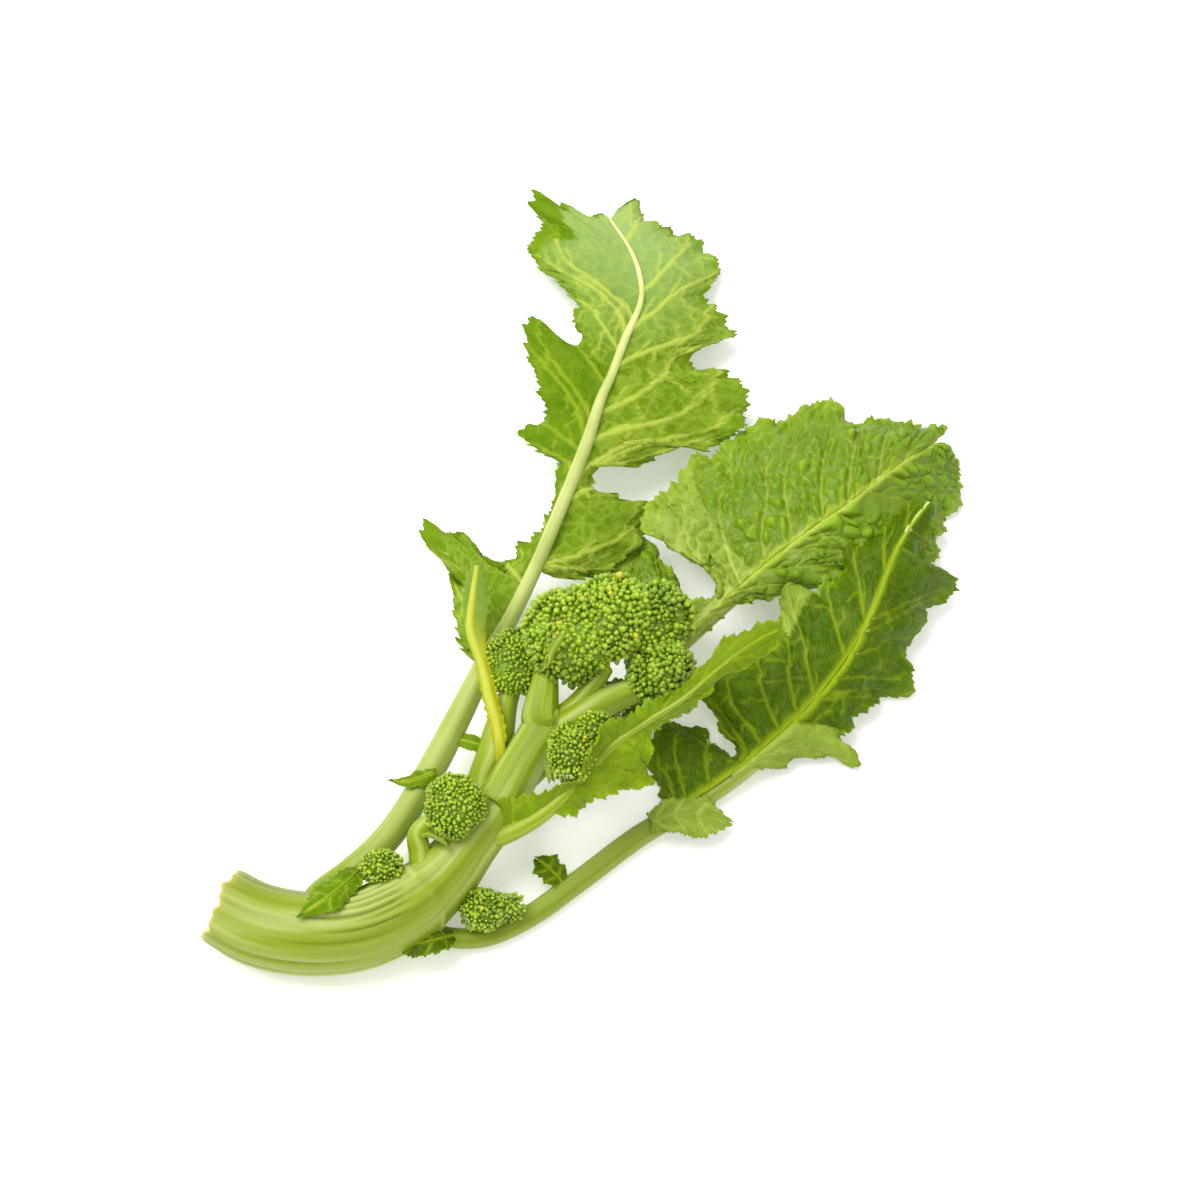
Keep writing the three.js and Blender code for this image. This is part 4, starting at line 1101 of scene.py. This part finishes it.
# %% Broad leaf
leaf("broad_leaf", BROAD,
     (BROAD_UPPER, [1.6, 3, 7.5, 9, 11, 13, 14.8, 16.5, 17.7, 19, 20.4, 22, 23.2], {"puff": 2.1}),
     (BROAD_LOWER, [1, 2, 3, 4.5, 6, 7.2, 8.7, 10, 11.3, 12.5], {"puff": 1.6}),
     "leaf_upper", [BROAD_FACE, RIB_SKIN], 0, wave=1.6, spacing=3.6, rows=56, step=0.75,
     cell=3.4, swell=0.9, tooth=1.8, tooth_step=5.5, rib_line=0.6)

# %% Long leaf
leaf("long_leaf", LONG,
     (LONG_LEFT, [1.4, 2.6, 4, 5.6, 9, 10.2, 12, 13.6, 15.4, 17, 18.6, 20.4, 22, 23.5], {}),
     (LONG_RIGHT, [1.2, 3, 4.6, 7, 9, 10, 11.5, 13.4, 15.7, 16.6, 18.8, 20], {}),
     "leaf_upper", [LONG_FACE, RIB_SKIN], 0,
     leaflets=[(LONG_ROUND, 0), (LONG_BASE, 0), (LONG_PALE, 1)], puff=0.7, wave=1.6, rows=44,
     step=0.8, tooth=2.0, rib_line=0.55, rib=1.2, vein_size=1.2, swell=1.0)

# %% Front leaf
leaf("front_leaf", FRONT, (FRONT_LEFT, [1.5, 3.5, 6, 8, 10, 12], {}),
     (FRONT_RIGHT, [1.5, 3, 4.5, 7, 9, 11], {}), "leaf_young", [FRONT_FACE, YOUNG_SKIN], 0,
     puff=0.45, wave=2.4, rib=0.6, spacing=2.8, rows=26, step=0.55, lift=0.5, tooth=1.5,
     tooth_step=3.6)

# %% Yellow leaf
for k, u in enumerate((0.2, 1.0, 1.8, 2.6)):
    x, y, z, r = curve(YELLOW, [u])[0]
    YELLOW_LEFT.insert(k, [u, x - 1.3 * r, y, z + 0.5])
    YELLOW_RIGHT.insert(k, [u, x + 1.3 * r, y, z + 0.5])
leaf("yellow_leaf", YELLOW, (YELLOW_LEFT, [1, 2, 3], {}), (YELLOW_RIGHT, [1, 2, 3], {}),
     "yellow_leaf", [YELLOW_FACE, YELLOW_SKIN], 0, puff=0.2, wave=0.9, rib=0.3, spacing=2.2,
     rows=14, step=0.45, lift=0.3, tooth=1.6, tooth_step=3.2, bloom=(4.4, 3.2))

# %% Bracts
CROWN_BRACT.insert(0, [*HEAD_STALK_LEFT[3][:2], 35.5, 1.0])
for name, line in (("crown_bract", CROWN_BRACT), ("short_shoot_bract", SHORT_SHOOT_BRACT),
                   ("front_shoot_bract", FRONT_SHOOT_BRACT)):
    bm = new_mesh()
    thin = [q[:3] + [0.4] for q in line]
    for hand, edge in zip((1, -1), leaflet_halves(line)):
        half_blade(bm, thin, edge, hand, 0, [0.8, 1.6, 2.3], step=0.35, rows=12, lift=0.3,
                   wave=0.3, tooth=0.15, tooth_step=2.0, puff=0.12, spacing=1.5, thick=0.4)
    finish_piece(bm, name + "_fine", [YELLOW_FACE], [name])

# %% [markdown]
# The table, the light and the camera. A white table that runs far past the view, a big
# soft lamp overhead and to the left, and a bright even surround leave only a faint shadow
# under the leaves. The table glows a little, like frosted glass lit from below.

# %% Table
bm = bmesh.new()
bmesh.ops.create_grid(bm, x_segments=1, y_segments=1, size=4.0)
mesh = bpy.data.meshes.new("table")
bm.to_mesh(mesh)
bm.free()
table = bpy.data.objects.new("table", mesh)
bpy.context.collection.objects.link(table)
white = bpy.data.materials.new("table_white")
white.use_nodes = True
paint = white.node_tree.nodes["Principled BSDF"].inputs
for label, value in (("Base Color", (0.96, 0.96, 0.96, 1)), ("Roughness", 0.9),
                     ("Emission Color", (1, 0.99, 0.96, 1)), ("Emission Strength", 0.28)):
    paint[label].default_value = value
mesh.materials.append(white)
table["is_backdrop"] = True

# %% Light
SURROUND, KEY, FILL = 0.68, 2.55, 0.35      # strengths
world = bpy.data.worlds.new("surround")
bpy.context.scene.world = world
world.use_nodes = True
world.node_tree.nodes["Background"].inputs["Color"].default_value = (1.0, 1.0, 1.0, 1)
world.node_tree.nodes["Background"].inputs["Strength"].default_value = SURROUND


def sun(name, direction, strength, softness):
    data = bpy.data.lights.new(name, "SUN")
    data.energy, data.angle = strength, math.radians(softness)
    made = bpy.data.objects.new(name, data)
    made.rotation_euler = Vector(direction).to_track_quat("-Z", "Y").to_euler()
    bpy.context.collection.objects.link(made)


sun("key", (0.45, -0.3, -1.0), KEY, 44)
sun("fill", (-0.5, 0.6, -1.0), FILL, 60)

# %% Camera
ELEVATION = math.radians(65)
DISTANCE = 1.0008
aim = place([0, 0, 15.0])
camera_data = bpy.data.cameras.new("camera")
camera_data.lens, camera_data.sensor_width = 100, 36
camera = bpy.data.objects.new("camera", camera_data)
camera.location = Vector(aim) + DISTANCE * Vector((0, -math.cos(ELEVATION), math.sin(ELEVATION)))
camera.rotation_euler = (math.pi / 2 - ELEVATION, 0, 0)
bpy.context.collection.objects.link(camera)
bpy.context.scene.camera = camera
bpy.context.scene.view_settings.view_transform = "Standard"

# %% Finish
new_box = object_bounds()
as_lists = lambda box: [[float(x) for x in corner] for corner in box]
{"cad": as_lists(cad_box), "visual": as_lists(new_box)}
print("visual box", new_box)
